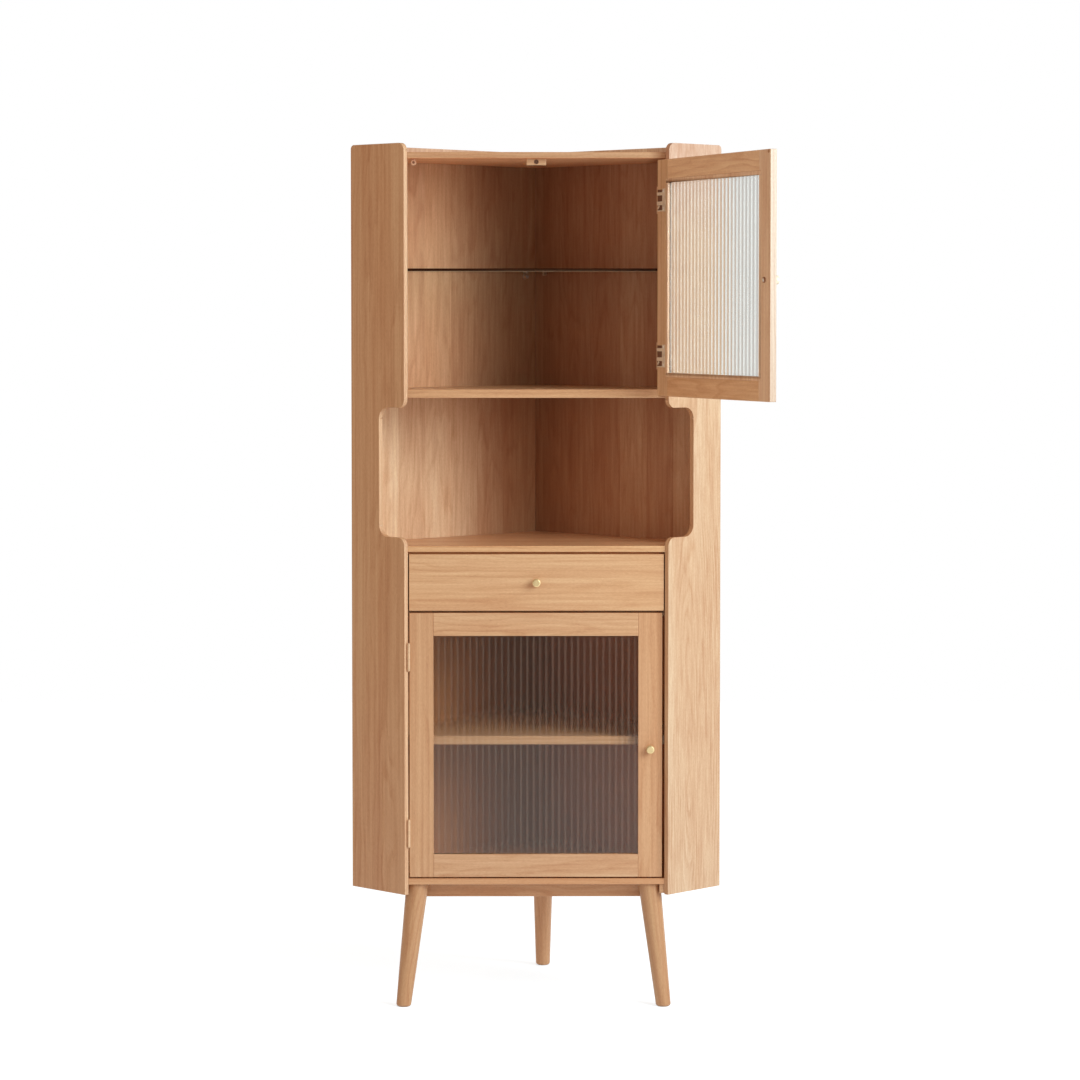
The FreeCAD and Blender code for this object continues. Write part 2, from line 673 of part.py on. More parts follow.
def make_door_frame(level, hand):
    """Two stiles and two rails, rebated from behind for glass and beads."""
    low = f"{level}_low"
    high = f"{level}_high"
    tall = f"({high} - {low})"
    rebate_y = "pin_proud + lip_thick"
    rebate_deep = "door_thick - lip_thick"
    stiles = (
        ("hinge", "edge", "edge + stile_width - rebate_width"),
        ("free", "(edge + door_width - stile_width)", "edge + door_width - stile_width"),
    )
    for name, start, rebate_start in stiles:
        stile = new_body(f"{level}_door_{name}_stile")
        add_box(stile, along_door(hand, start, "stile_width"), "pin_proud", low,
                "stile_width", "door_thick", tall)
        add_box(stile, along_door(hand, rebate_start, "rebate_width"), rebate_y,
                f"{low} + rail_height - rebate_width", "rebate_width", rebate_deep,
                f"{tall} - 2 * (rail_height - rebate_width)", cut=True)
        if name == "hinge":
            drill_for_leaves(stile, level, hand)
        else:
            add_rod(stile, knob_x(hand), "pin_proud", f"{level}_knob_z",
                    "knob_screw_radius + screw_play", "door_thick", "+y", cut=True)
        hang(named(stile, f"{level}_door_{name}_stile"), hand)
    rail_start = "(edge + stile_width)"
    rail_length = "(door_width - 2 * stile_width)"
    rails = (
        ("bottom", low, f"{low} + rail_height - rebate_width"),
        ("top", f"{high} - rail_height", f"{high} - rail_height"),
    )
    for name, base, rebate_base in rails:
        rail = new_body(f"{level}_door_{name}_rail")
        x = along_door(hand, rail_start, rail_length)
        add_box(rail, x, "pin_proud", base, rail_length, "door_thick", "rail_height")
        add_box(rail, x, rebate_y, rebate_base, rail_length, rebate_deep, "rebate_width", cut=True)
        hang(named(rail, f"{level}_door_{name}_rail"), hand)


def ribbed_pane(label, left, low, wide, tall):
    """A pane with round ribs on its inner face, as many as fit its width at their pitch."""
    x, z, width, height = (value_of(formula) for formula in (left, low, wide, tall))
    front = value_of("pin_proud + lip_thick")
    valley = front + value_of("pane_thick - rib_depth")
    crest = front + value_of("pane_thick")
    pitch = value_of("rib_pitch")
    land = value_of("rib_land")
    count = int((width - land) / pitch)
    margin = (width - count * pitch) / 2
    edges = []
    reached = V(x, valley, z)
    for index in range(count):
        start = V(x + margin + index * pitch + land / 2, valley, z)
        end = V(start.x + pitch - land, valley, z)
        top = V((start.x + end.x) / 2, crest, z)
        edges.append(Part.LineSegment(reached, start).toShape())
        edges.append(Part.Arc(start, top, end).toShape())
        reached = end
    corners = [reached, V(x + width, valley, z), V(x + width, front, z), V(x, front, z), V(x, valley, z)]
    for start, end in zip(corners, corners[1:]):
        edges.append(Part.LineSegment(start, end).toShape())
    pane = doc.addObject("Part::Feature", label)
    pane.Shape = Part.Face(Part.Wire(edges)).extrude(V(0, 0, height))
    return named(pane, label)


def make_door_glass(level, hand):
    """The ribbed pane in its rebate and the four beads that hold it."""
    low = f"({level}_low + rail_height - rebate_width)"
    tall = f"({level}_high - {level}_low - 2 * (rail_height - rebate_width))"
    start = "(edge + stile_width - rebate_width)"
    wide = "(door_width - 2 * (stile_width - rebate_width))"
    pane_wide = f"({wide} - 2 * pane_play)"
    pane_left = along_door(hand, f"({start} + pane_play)", pane_wide)
    pane_low = f"{low} + pane_play"
    hang(ribbed_pane(f"{level}_door_glass", pane_left, pane_low, pane_wide, f"{tall} - 2 * pane_play"), hand)
    bead_y = "pin_proud + lip_thick + pane_thick"
    bead_deep = "door_thick - lip_thick - pane_thick"
    upright = f"({tall} - 2 * rebate_width)"
    beads = (
        (start, low, wide, "rebate_width"),
        (start, f"{low} + {tall} - rebate_width", wide, "rebate_width"),
        (start, f"{low} + rebate_width", "rebate_width", upright),
        (f"({start} + {wide} - rebate_width)", f"{low} + rebate_width", "rebate_width", upright),
    )
    strips = []
    for index, (u, z, du, dz) in enumerate(beads):
        bead = new_body(f"{level}_bead_{index}")
        add_box(bead, along_door(hand, u, du), bead_y, z, du, bead_deep, dz)
        strips.append(bead)
    hang(group(strips, f"{level}_door_beads"), hand)


def knob_x(hand):
    """Where a door's knob sits, from the pin: the middle of the free stile."""
    return f"{hand} * (edge + door_width - stile_width / 2)"


def knob_body(name, x, y, z):
    """A round knob whose back is at y, pointing forwards, with a threaded hole."""
    knob = new_body(name)
    add_rod(knob, x, y, z, "neck_radius", "neck_length", "-y")
    add_rod(knob, x, f"{y} - neck_length", z, "knob_radius", "knob_head", "-y")
    doc.recompute()
    rim = value_of(f"{y} - knob_back")
    turned = knob.Tip
    numbers = [f"Edge{index}" for index, edge in enumerate(turned.Shape.Edges, start=1)
               if edge.BoundBox.YMax < rim + value_of("knob_round")]
    rounding = knob.newObject("PartDesign::Fillet", "Rounding")
    rounding.Base = (turned, numbers)
    bind(rounding, "Radius", "knob_round")
    add_rod(knob, x, y, z, "knob_screw_radius + screw_play", "knob_screw_bite + screw_play", "-y", cut=True)
    return knob


def knob_screw_body(name, x, y, z):
    """The screw that holds a knob: its head lies on the inner face at y."""
    screw = new_body(name)
    add_rod(screw, x, f"{y} + knob_screw_cap", z, "knob_screw_head", "knob_screw_cap", "-y")
    add_rod(screw, x, y, z, "knob_screw_radius", "door_thick + knob_screw_bite", "-y")
    return screw


def make_door_fittings(level, hand):
    """Knob, its screw and the strike plate of one door."""
    height = f"{level}_knob_z"
    knob = knob_body(f"{level}_door_knob", knob_x(hand), "pin_proud", height)
    hang(named(knob, f"{level}_door_knob"), hand)
    screw = knob_screw_body(f"{level}_door_knob_screw", knob_x(hand), "(pin_proud + door_thick)", height)
    hang(named(screw, f"{level}_door_knob_screw"), hand)
    board = "top_z" if level == "upper" else "bearer_top - board_thick"
    strike = new_body(f"{level}_door_strike")
    add_rod(strike, f"{hand} * (edge + door_width - catch_inset)", "pin_proud + door_thick",
            f"{board} - catch_drop", "strike_radius", "strike_thick", "+y")
    hang(named(strike, f"{level}_door_strike"), hand)


def door_leaf(name, hand, middle):
    """A hinge plate that wraps from the door's edge on to its inner face, with the middle knuckle."""
    leaf = new_body(name)
    low = f"({middle} - hinge_height / 2)"
    mid_low = f"({middle} - knuckle_tall / 2)"
    add_rod(leaf, "0", "0", mid_low, "knuckle_radius", "knuckle_tall")
    add_box(leaf, along_door(hand, "(edge - leaf_thick)", "leaf_thick"), "0", mid_low, "leaf_thick",
            "pin_proud", "knuckle_tall")
    add_box(leaf, along_door(hand, "(edge - leaf_thick)", "leaf_thick"), "pin_proud", low, "leaf_thick",
            "door_thick + leaf_thick", "hinge_height")
    add_box(leaf, along_door(hand, "edge", "wrap_width"), "pin_proud + door_thick",
            f"{middle} - wrap_height / 2", "wrap_width", "leaf_thick", "wrap_height")
    add_rod(leaf, "0", "0", mid_low, "bore_radius", "knuckle_tall", cut=True)
    for step in (-1, 1):
        add_cone(leaf, wrap_screw_x(hand), "pin_proud + door_thick + leaf_thick",
                 f"{middle} + {step} * leaf_screw_pitch", "leaf_screw_head + screw_play",
                 "leaf_screw_radius + screw_play", "leaf_thick", "-y", cut=True)
    return leaf


def frame_leaf(name, hand, middle):
    """A flat hinge plate on the post's face, with the two outer knuckles, drawn from the pin."""
    leaf = new_body(name)
    low = f"({middle} - hinge_height / 2)"
    high = f"({middle} + hinge_height / 2 - knuckle_tall)"
    x = along_door(hand, "(-edge)", "leaf_thick")
    add_box(leaf, x, "pin_proud", low, "leaf_thick", "frame_leaf_depth", "hinge_height")
    for base in (low, high):
        add_box(leaf, x, "0", base, "leaf_thick", "pin_proud", "knuckle_tall")
        add_rod(leaf, "0", "0", base, "knuckle_radius", "knuckle_tall")
    add_rod(leaf, "0", "0", low, "bore_radius", "hinge_height", cut=True)
    for step in (-1, 1):
        add_cone(leaf, f"{hand} * (-edge + leaf_thick)", "pin_proud + frame_screw_inset",
                 f"{middle} + {step} * leaf_screw_pitch", "leaf_screw_head + screw_play",
                 "leaf_screw_radius + screw_play", "leaf_thick", "-x" if hand > 0 else "+x", cut=True)
    bind_place(leaf, "-pin_x" if hand > 0 else "pin_x", "pin_y", "0")
    return leaf


def countersunk_screw(name, x, y, z, axis):
    """A hinge screw from its head's top along the axis."""
    screw = new_body(name)
    add_cone(screw, x, y, z, "leaf_screw_head", "leaf_screw_radius", "leaf_thick", axis)
    add_rod(screw, x, y, z, "leaf_screw_radius", "leaf_screw_length", axis)
    return screw


def hinge_pin(name, hand, middle):
    """A pin through three knuckles with a rounded end above and below."""
    pin = new_body(name)
    x = "-pin_x" if hand > 0 else "pin_x"
    low = f"({middle} - hinge_height / 2)"
    add_rod(pin, x, "pin_y", low, "pin_radius", "hinge_height")
    add_cone(pin, x, "pin_y", f"{low} + hinge_height", "pin_cap_radius", "pin_radius", "pin_radius", "+z")
    add_cone(pin, x, "pin_y", low, "pin_cap_radius", "pin_radius", "pin_radius", "-z")
    return pin


def make_hinges():
    """Two hinges for each door: leaves, pins and screws."""
    frame_leaves = []
    pins = []
    frame_screws = []
    for level, hand in (("upper", -1), ("lower", 1)):
        door_leaves = []
        door_screws = []
        for index, middle in enumerate(hinge_heights(level)):
            tag = f"{level}_{index}"
            door_leaves.append(door_leaf(f"door_leaf_{tag}", hand, middle))
            frame_leaves.append(frame_leaf(f"frame_leaf_{tag}", hand, middle))
            pins.append(hinge_pin(f"pin_{tag}", hand, middle))
            for step in (-1, 1):
                height = f"{middle} + {step} * leaf_screw_pitch"
                door_screws.append(countersunk_screw(
                    f"door_leaf_screw_{tag}", wrap_screw_x(hand),
                    "pin_proud + door_thick + leaf_thick", height, "-y"))
                frame_screws.append(countersunk_screw(
                    f"frame_leaf_screw_{tag}", f"{-hand} * (front_x - leaf_thick)",
                    "front_y + frame_screw_inset", height,
                    "-x" if hand > 0 else "+x"))
        hang(group(door_leaves, f"{level}_door_hinge_leaves"), hand)
        hang(group(door_screws, f"{level}_door_hinge_screws"), hand)
    group(frame_leaves, "frame_hinge_leaves")
    group(pins, "hinge_pins")
    group(frame_screws, "frame_hinge_screws")


def make_doors():
    """The right-hung upper door, which stands open, and the left-hung lower door."""
    for level, hand in (("upper", -1), ("lower", 1)):
        make_door_frame(level, hand)
        make_door_glass(level, hand)
        make_door_fittings(level, hand)
    make_hinges()


def make_drawer():
    """Drawer front, box, knob, runners, and the guides and rails that carry it."""
    front = new_body("drawer_front")
    half = "(front_x - drawer_side_gap)"
    add_box(front, f"-{half}", "front_y", "drawer_low", f"2 * {half}", "door_thick", "drawer_height")
    add_rod(front, "0", "front_y", "drawer_mid",
            "knob_screw_radius + screw_play", "door_thick", "+y", cut=True)
    named(front, "drawer_front")
    named(knob_body("drawer_knob", "0", "front_y", "drawer_mid"), "drawer_knob")
    screw = knob_screw_body("drawer_knob_screw", "0", "(front_y + door_thick)", "drawer_mid")
    named(screw, "drawer_knob_screw")

    side = new_body("drawer_right_side")
    add_box(side, "box_half_width - side_thick", "door_back_y", "box_low",
            "side_thick", "box_depth", "box_height")
    mirrored(named(side, "drawer_right_side"), "drawer_left_side")
    back = new_body("drawer_back")
    inner = "(box_half_width - side_thick)"
    add_box(back, f"-{inner}", "door_back_y + box_depth - side_thick", "box_low",
            f"2 * {inner}", "side_thick", "box_height")
    named(back, "drawer_back")
    floor = new_body("drawer_bottom")
    add_box(floor, f"-{inner}", "door_back_y", "box_low + floor_rise", f"2 * {inner}",
            "box_depth - side_thick", "floor_thick")
    named(floor, "drawer_bottom")

    runner = new_body("drawer_runner")
    groove_z = "(rail_z + (rail_tall - groove_tall) / 2)"
    rail_face = "(guide_x - rail_thick)"
    add_box(runner, "box_half_width", "guide_front_y", f"{groove_z} + runner_play",
            f"{rail_face} + groove_deep - runner_play - box_half_width", "guide_length - runner_short",
            "groove_tall - 2 * runner_play")
    mirrored_pair(runner, "drawer_runners")
    rail = new_body("slide_rail")
    add_box(rail, rail_face, "guide_front_y", "rail_z", "rail_thick", "guide_length", "rail_tall")
    add_box(rail, rail_face, "guide_front_y", groove_z, "groove_deep", "guide_length", "groove_tall",
            cut=True)
    mirrored_pair(rail, "slide_rails")
    guide = new_body("drawer_guide")
    add_box(guide, "guide_x", "guide_front_y", "bearer_top", "guide_thick", "guide_length",
            "guide_height")
    mirrored_pair(guide, "drawer_guides")


def check_all():
    """Stop when an object failed or a sub-part has no sound shape."""
    faults = []
    for item in doc.Objects:
        if "Invalid" in item.State or "Error" in item.State:
            faults.append(f"{item.Label}: {item.State}")
    for piece in PIECES:
        if piece.Shape.isNull() or not piece.Shape.isValid():
            faults.append(f"{piece.Label}: no valid shape")
        elif not piece.Shape.Solids:
            faults.append(f"{piece.Label}: no solid")
    if faults:
        raise RuntimeError("; ".join(faults))


def export_all():
    os.makedirs("parts", exist_ok=True)
    for piece in PIECES:
        piece.Shape.exportStep(f"parts/{piece.Label}.step")


write_sizes()
make_panels()
make_boards()
make_posts()
make_shelf_pins()
make_legs()
make_stop_and_catches()
make_doors()
make_drawer()
doc.recompute()
check_all()
export_all()
print(len(PIECES), "sub-parts,", sum(len(piece.Shape.Solids) for piece in PIECES), "solids")
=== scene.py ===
"""Corner cabinet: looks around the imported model. Metres, +X right, +Y to the rear, +Z up."""

import json
import math
import random

import bmesh
import bpy
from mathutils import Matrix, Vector


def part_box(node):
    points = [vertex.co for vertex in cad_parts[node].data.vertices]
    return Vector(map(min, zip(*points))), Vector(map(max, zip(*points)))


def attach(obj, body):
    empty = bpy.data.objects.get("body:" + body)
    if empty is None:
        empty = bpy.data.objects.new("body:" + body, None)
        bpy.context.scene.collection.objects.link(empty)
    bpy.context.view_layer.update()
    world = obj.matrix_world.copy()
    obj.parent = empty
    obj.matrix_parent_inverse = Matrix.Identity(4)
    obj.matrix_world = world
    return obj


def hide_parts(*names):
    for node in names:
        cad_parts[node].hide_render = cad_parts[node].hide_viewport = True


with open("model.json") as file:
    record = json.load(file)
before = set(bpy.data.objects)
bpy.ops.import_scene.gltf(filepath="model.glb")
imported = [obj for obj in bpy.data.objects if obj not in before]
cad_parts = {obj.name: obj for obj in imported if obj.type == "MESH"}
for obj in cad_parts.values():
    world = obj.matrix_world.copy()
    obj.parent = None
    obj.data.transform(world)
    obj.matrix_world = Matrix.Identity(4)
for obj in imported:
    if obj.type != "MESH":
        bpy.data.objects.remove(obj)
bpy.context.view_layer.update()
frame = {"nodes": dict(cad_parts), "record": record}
record = frame["record"]
body_of = {node: body for body, nodes in record["behaviour"]["bodies"].items() for node in nodes}
slot_of = {part["node"]: part["material_slot"] for part in record["subparts"]}

HALF_ROOT = math.sqrt(0.5)
UP = Vector((0, 0, 1))
RIGHT = Vector((1, 0, 0))
BACK = Vector((0, 1, 0))
RIGHT_WALL = Vector((HALF_ROOT, -HALF_ROOT, 0))
LEFT_WALL = Vector((-HALF_ROOT, -HALF_ROOT, 0))
LEFT_OUT = Vector((-HALF_ROOT, HALF_ROOT, 0))

hinge = [joint for joint in record["behaviour"]["joints"] if joint["name"] == "upper_door_hinge"][0]
open_angle = -math.radians(hinge["range_deg"][0])
DOOR_ALONG = Vector((-math.cos(open_angle), -math.sin(open_angle), 0))
DOOR_INWARD = Vector((-math.sin(open_angle), math.cos(open_angle), 0))


# Shader helpers

class Shader:
    """A material's node tree with short ways to add and link nodes."""

    def __init__(self, name):
        self.material = bpy.data.materials.new(name)
        self.material.use_nodes = True
        self.tree = self.material.node_tree
        self.tree.nodes.clear()
        self.output = self.tree.nodes.new("ShaderNodeOutputMaterial")

    def node(self, kind, inputs=None, **settings):
        made = self.tree.nodes.new("ShaderNode" + kind)
        for key, value in settings.items():
            setattr(made, key, value)
        for key, value in (inputs or {}).items():
            if isinstance(value, bpy.types.NodeSocket):
                self.tree.links.new(value, made.inputs[key])
            else:
                made.inputs[key].default_value = value
        return made

    def math(self, operation, first, second=0.0):
        return self.node("Math", {0: first, 1: second}, operation=operation).outputs[0]

    def scaled(self, vector, factors):
        return self.node("VectorMath", {0: vector, 1: factors}, operation="MULTIPLY").outputs[0]

    def added(self, first, second):
        return self.node("VectorMath", {0: first, 1: second}, operation="ADD").outputs[0]

    def noise(self, vector, scale, detail, roughness):
        found = self.node("TexNoise", {"Vector": vector, "Scale": scale, "Detail": detail,
                                       "Roughness": roughness})
        return found.outputs["Fac"]

    def ramp(self, value, stops):
        """A ramp through stops of a place and a colour."""
        made = self.node("ValToRGB", {"Fac": value})
        elements = made.color_ramp.elements
        while len(elements) < len(stops):
            elements.new(0.5)
        for element, (place, colour) in zip(elements, stops):
            element.position = place
            element.color = (*colour, 1)
        return made.outputs["Color"]

    def spread(self, value, low, high, to_low=0.0, to_high=1.0):
        """Values from low to high, spread from to_low to to_high and held there."""
        return self.node("MapRange", {"Value": value, "From Min": low, "From Max": high,
                                      "To Min": to_low, "To Max": to_high}).outputs["Result"]

    def mix(self, factor, first, second, blend="MIX"):
        made = self.node("Mix", data_type="RGBA", blend_type=blend)
        for key, value in ((0, factor), (6, first), (7, second)):
            if isinstance(value, bpy.types.NodeSocket):
                self.tree.links.new(value, made.inputs[key])
            else:
                made.inputs[key].default_value = value
        return made.outputs[2]

    def bump(self, height, strength, distance):
        return self.node("Bump", {"Height": height, "Strength": strength, "Distance": distance}).outputs[0]

    def finish(self, surface):
        self.tree.links.new(surface, self.output.inputs["Surface"])
        return self.material


def linear(red, green, blue):
    """A colour written as screen values from 0 to 255, as the shader needs it."""
    def curve(value):
        value /= 255
        return value / 12.92 if value <= 0.04045 else ((value + 0.055) / 1.055) ** 2.4
    return (curve(red), curve(green), curve(blue), 1.0)


# Wood. Every wooden piece carries the attribute "wood": metres along the grain, across it and
# into the thickness, measured from the middle of the tree, and "tint", which multiplies its colour
# and holds the painted light and shade of many pieces.
# A scale of three numbers says how often a pattern changes per metre in those three directions.
RING_SPACING = 0.0068
RING_STOPS = [(0.0, (0.9, 0.9, 0.9)), (0.12, (1, 1, 1)), (0.38, (0.25, 0.25, 0.25)),
              (0.85, (0.0, 0.0, 0.0)), (1.0, (0.75, 0.75, 0.75))]
STRENGTH_SCALE = (2.5, 22.0, 22.0)
WAVER_SCALE = (2.2, 14.0, 14.0)
WAVER_DEPTH = 0.045
FINE_WAVER_SCALE = (9.0, 60.0, 60.0)
FINE_WAVER_DEPTH = 0.004
STREAK_SCALE = (0.7, 130.0, 130.0)
FOG_SCALE = (0.9, 11.0, 11.0)
FLECK_SCALE = (160.0, 900.0, 900.0)
LIFT_POWERS = (1.8, 2.2)
PORE_LENGTH = 0.010
PORE_WIDTH = 0.00040
PORE_TONE = (0.60, 0.44, 0.34, 1)
PORE_STRENGTH = 0.6
SMOOTHEST = 0.31
ROUGHEST = 0.50
GRAIN_BUMP = 0.18
GRAIN_DEPTH = 0.0004
STRIP_WIDTH = 0.078
STRIP_SHIFTS = (4.0, 0.06, 0.10)
WALL_REACH = 0.27
# Painted light along each wall's corner line: how far from the corner it reaches, and how its green and blue
# swing
CORNER_LIGHT_REACH = 0.30
CORNER_LIGHT_POWERS = (1.6, 1.75)
KNOT_SIZE = 0.0042
KNOT_SCALE = (0.6, 1.0, 0.0)
KNOT_TONE = (0.72, 0.50, 0.42, 1)


def warmed(s, value, powers):
    """A grey value as a colour whose green and blue swing further than its red."""
    green, blue = [s.math("POWER", value, power) for power in powers]
    return s.node("CombineColor", {0: value, 1: green, 2: blue}).outputs[0]


def add_strips(s, grain, tint):
    """Part a wall into glued strips, each with a heart of its own; the tint changes along the wall as
    painted shade, darker towards the corner, with painted light along the corner line.
    Returns the new grain, the new tint and a chance value for each strip."""
    across = s.node("SeparateXYZ", {0: grain}).outputs["Y"]
    strip = s.math("FLOOR", s.math("DIVIDE", across, STRIP_WIDTH))
    chance = s.node("TexWhiteNoise", {"W": strip}, noise_dimensions="1D")
    far_tint = s.node("Attribute", attribute_name="far_tint").outputs["Vector"]
    reach_limits = s.node("Attribute", attribute_name="reach").outputs["Vector"]
    limits = s.node("SeparateXYZ", {0: reach_limits})
    # Painted shade: the tint grows lighter from the corner towards the front of the wall
    frontward = s.spread(across, -WALL_REACH, WALL_REACH)
    change = s.node("MapRange", {"Value": frontward, "From Min": limits.outputs["X"],
                                 "From Max": limits.outputs["Y"]}, interpolation_type="SMOOTHSTEP")
    tint = s.mix(change.outputs["Result"], tint, far_tint)
    # Painted light: the corner line is lifted lighter
    corner = s.spread(frontward, 0.0, CORNER_LIGHT_REACH, 1.0, 0.0)
    corner = s.math("ADD", s.math("MULTIPLY", corner, limits.outputs["Z"]), 1.0)
    tint = s.mix(1.0, tint, warmed(s, corner, CORNER_LIGHT_POWERS), "MULTIPLY")
    heart = s.math("MULTIPLY", s.math("ADD", strip, 0.5), -STRIP_WIDTH)
    heart = s.node("CombineXYZ", {"Y": heart}).outputs[0]
    shift = s.added(s.scaled(chance.outputs["Color"], STRIP_SHIFTS), heart)
    return s.added(grain, shift), tint, chance.outputs["Value"]


def ring_pattern(s, grain):
    """How much of each point is the dark part of a year ring."""
    parts = s.node("SeparateXYZ", {0: grain})
    waver = s.noise(s.scaled(grain, WAVER_SCALE), 1.0, 3.0, 0.55)
    fine_waver = s.noise(s.scaled(grain, FINE_WAVER_SCALE), 1.0, 2.0, 0.5)
    across = s.node("CombineXYZ", {"Y": parts.outputs["Y"], "Z": parts.outputs["Z"]}).outputs[0]
    radius = s.node("VectorMath", {0: across}, operation="LENGTH").outputs["Value"]
    radius = s.math("ADD", radius, s.math("MULTIPLY", waver, WAVER_DEPTH))
    radius = s.math("ADD", radius, s.math("MULTIPLY", fine_waver, FINE_WAVER_DEPTH))
    ring = s.math("FRACT", s.math("DIVIDE", radius, RING_SPACING))
    strength = s.noise(s.scaled(grain, STRENGTH_SCALE), 1.0, 2.0, 0.6)
    return s.math("MULTIPLY", s.ramp(ring, RING_STOPS), s.spread(strength, 0.35, 0.75, 0.12, 1.0))


def make_wood(name, early, late, blush, strips=False, figure=0.55, knots=False, gloss=0.50, dull=0.0):
    """Pale open-grained wood; early and late are the two parts of a year ring, figure their contrast,
    gloss how strongly it mirrors, and dull is added to its roughness. A wall of glued strips carries
    painted shade: it goes from "tint" in the cabinet's corner to a lighter tint at the front; "reach"
    holds where along the wall that change starts and ends, and how much painted light lifts the
    corner line."""
    s = Shader(name)
    grain = s.node("Attribute", attribute_name="wood").outputs["Vector"]
    tint = s.node("Attribute", attribute_name="tint").outputs["Vector"]
    if strips:
        grain, tint, strip_tone = add_strips(s, grain, tint)
    year = ring_pattern(s, grain)
    pore_space = s.scaled(grain, (1 / PORE_LENGTH, 1 / PORE_WIDTH, 1 / PORE_WIDTH))
    pores = s.spread(s.noise(pore_space, 1.0, 1.0, 0.5), 0.55, 0.72)
    pores = s.math("MULTIPLY", pores, s.spread(year, 0.0, 1.0, 0.45, 1.0))
    streak = s.noise(s.scaled(grain, STREAK_SCALE), 1.0, 4.0, 0.65)
    fog = s.noise(s.scaled(grain, FOG_SCALE), 1.0, 3.0, 0.55)
    fleck = s.noise(s.scaled(grain, FLECK_SCALE), 1.0, 2.0, 0.6)
    colour = s.mix(s.math("MULTIPLY", year, figure), late, early)
    colour = s.mix(s.spread(fog, 0.42, 0.62, 0.0, 0.9), colour, blush, "MULTIPLY")
    lift = s.math("MULTIPLY", s.spread(streak, 0.25, 0.75, 0.86, 1.12),
                  s.spread(fleck, 0.3, 0.7, 0.95, 1.05))
    if strips:
        lift = s.math("MULTIPLY", lift, s.spread(strip_tone, 0.0, 1.0, 0.90, 1.10))
    colour = s.mix(1.0, colour, warmed(s, lift, LIFT_POWERS), "MULTIPLY")
    colour = s.mix(1.0, colour, tint, "MULTIPLY")
    if knots:
        flecks = s.node("TexVoronoi", {"Vector": s.scaled(grain, KNOT_SCALE), "Scale": 7.0})
        knot = s.spread(flecks.outputs["Distance"], KNOT_SIZE * 3, KNOT_SIZE * 10, 0.8, 0.0)
        colour = s.mix(knot, colour, s.mix(1.0, colour, KNOT_TONE, "MULTIPLY"))
    pore_colour = s.mix(1.0, colour, PORE_TONE, "MULTIPLY")
    colour = s.mix(s.math("MULTIPLY", pores, PORE_STRENGTH), colour, pore_colour)
    rough = s.spread(s.math("ADD", year, pores), 0.0, 1.6, SMOOTHEST + dull, ROUGHEST + dull)
    height = s.math("SUBTRACT", s.math("MULTIPLY", year, -0.3), pores)
    surface = s.node("BsdfPrincipled", {
        "Base Color": colour, "Roughness": rough, "Specular IOR Level": gloss,
        "Normal": s.bump(height, GRAIN_BUMP, GRAIN_DEPTH),
    })
    return s.finish(surface.outputs[0])


METAL_STREAKS = 900.0
TARNISH_TONE = (0.72, 0.68, 0.62, 1)


def make_metal(name, colour, roughness, brush_axis, metallic=1.0):
    """Brushed metal: streaks along its brush axis in its roughness, and a faint tarnish."""
    s = Shader(name)
    place = s.node("TexCoord").outputs["Object"]
    streaks = s.noise(s.scaled(place, brush_axis), METAL_STREAKS, 3.0, 0.6)
    tarnish = s.noise(place, 120.0, 3.0, 0.6)
    dull = s.mix(1.0, colour, TARNISH_TONE, "MULTIPLY")
    tone = s.mix(s.spread(tarnish, 0.45, 0.75, 0.0, 0.7), colour, dull)
    rough = s.spread(streaks, 0.3, 0.7, roughness - 0.08, roughness + 0.1)
    surface = s.node("BsdfPrincipled", {"Base Color": tone, "Metallic": metallic, "Roughness": rough,
                                        "Normal": s.bump(streaks, 0.12, 0.0001)})
    return s.finish(surface.outputs[0])


PLAIN_ROUGHNESS = 0.02
RIPPLE_SCALE = 14.0


def make_glass(name, colour, roughness, ior, passing, frost=None, frosted=0.0, frost_colour=None,
               rib_shade_tone=None, mirrored=(1, 1, 1, 1)):
    """Clear glass; lamps' light comes through it in the colour passing, and mirrored tints what it
    mirrors. With frost, the kind of a matt shader, each rib has a frosted line where its attribute
    "groove" is 0 and, where it is 1, a darker colour, painted shade on the rest of the rib, and faces
    with "plain" at 1 are smooth."""
    s = Shader(name)
    ripple = s.noise(s.node("TexCoord").outputs["Object"], RIPPLE_SCALE, 2.0, 0.5)
    tone = colour
    if frost:
        groove = s.node("Attribute", attribute_name="groove").outputs["Fac"]
        # The rest of each rib is painted darker: painted shade
        tone = s.mix(groove, colour, rib_shade_tone)
        plain = s.node("Attribute", attribute_name="plain").outputs["Fac"]
        roughness = s.spread(plain, 0.0, 1.0, roughness, PLAIN_ROUGHNESS)
    surface = s.node("BsdfPrincipled", {
        "Base Color": tone, "Roughness": roughness, "IOR": ior, "Transmission Weight": 1.0,
        "Specular Tint": mirrored,
        "Normal": s.bump(ripple, 0.04, 0.001),
    }).outputs[0]
    if frost:
        matt = s.node(frost, {"Color": frost_colour}).outputs[0]
        line = s.spread(groove, 0.0, 1.0, frosted, 0.0)
        surface = s.node("MixShader", {0: line, 1: surface, 2: matt}).outputs[0]
    clear = s.node("BsdfTransparent", {"Color": passing})
    path = s.node("LightPath")
    return s.finish(s.node("MixShader", {0: path.outputs["Is Shadow Ray"], 1: surface,
                                         2: clear.outputs[0]}).outputs[0])


MOTTLE_SCALE = 700.0
PALE_MOTTLE = (1.6, 1.6, 1.6, 1)


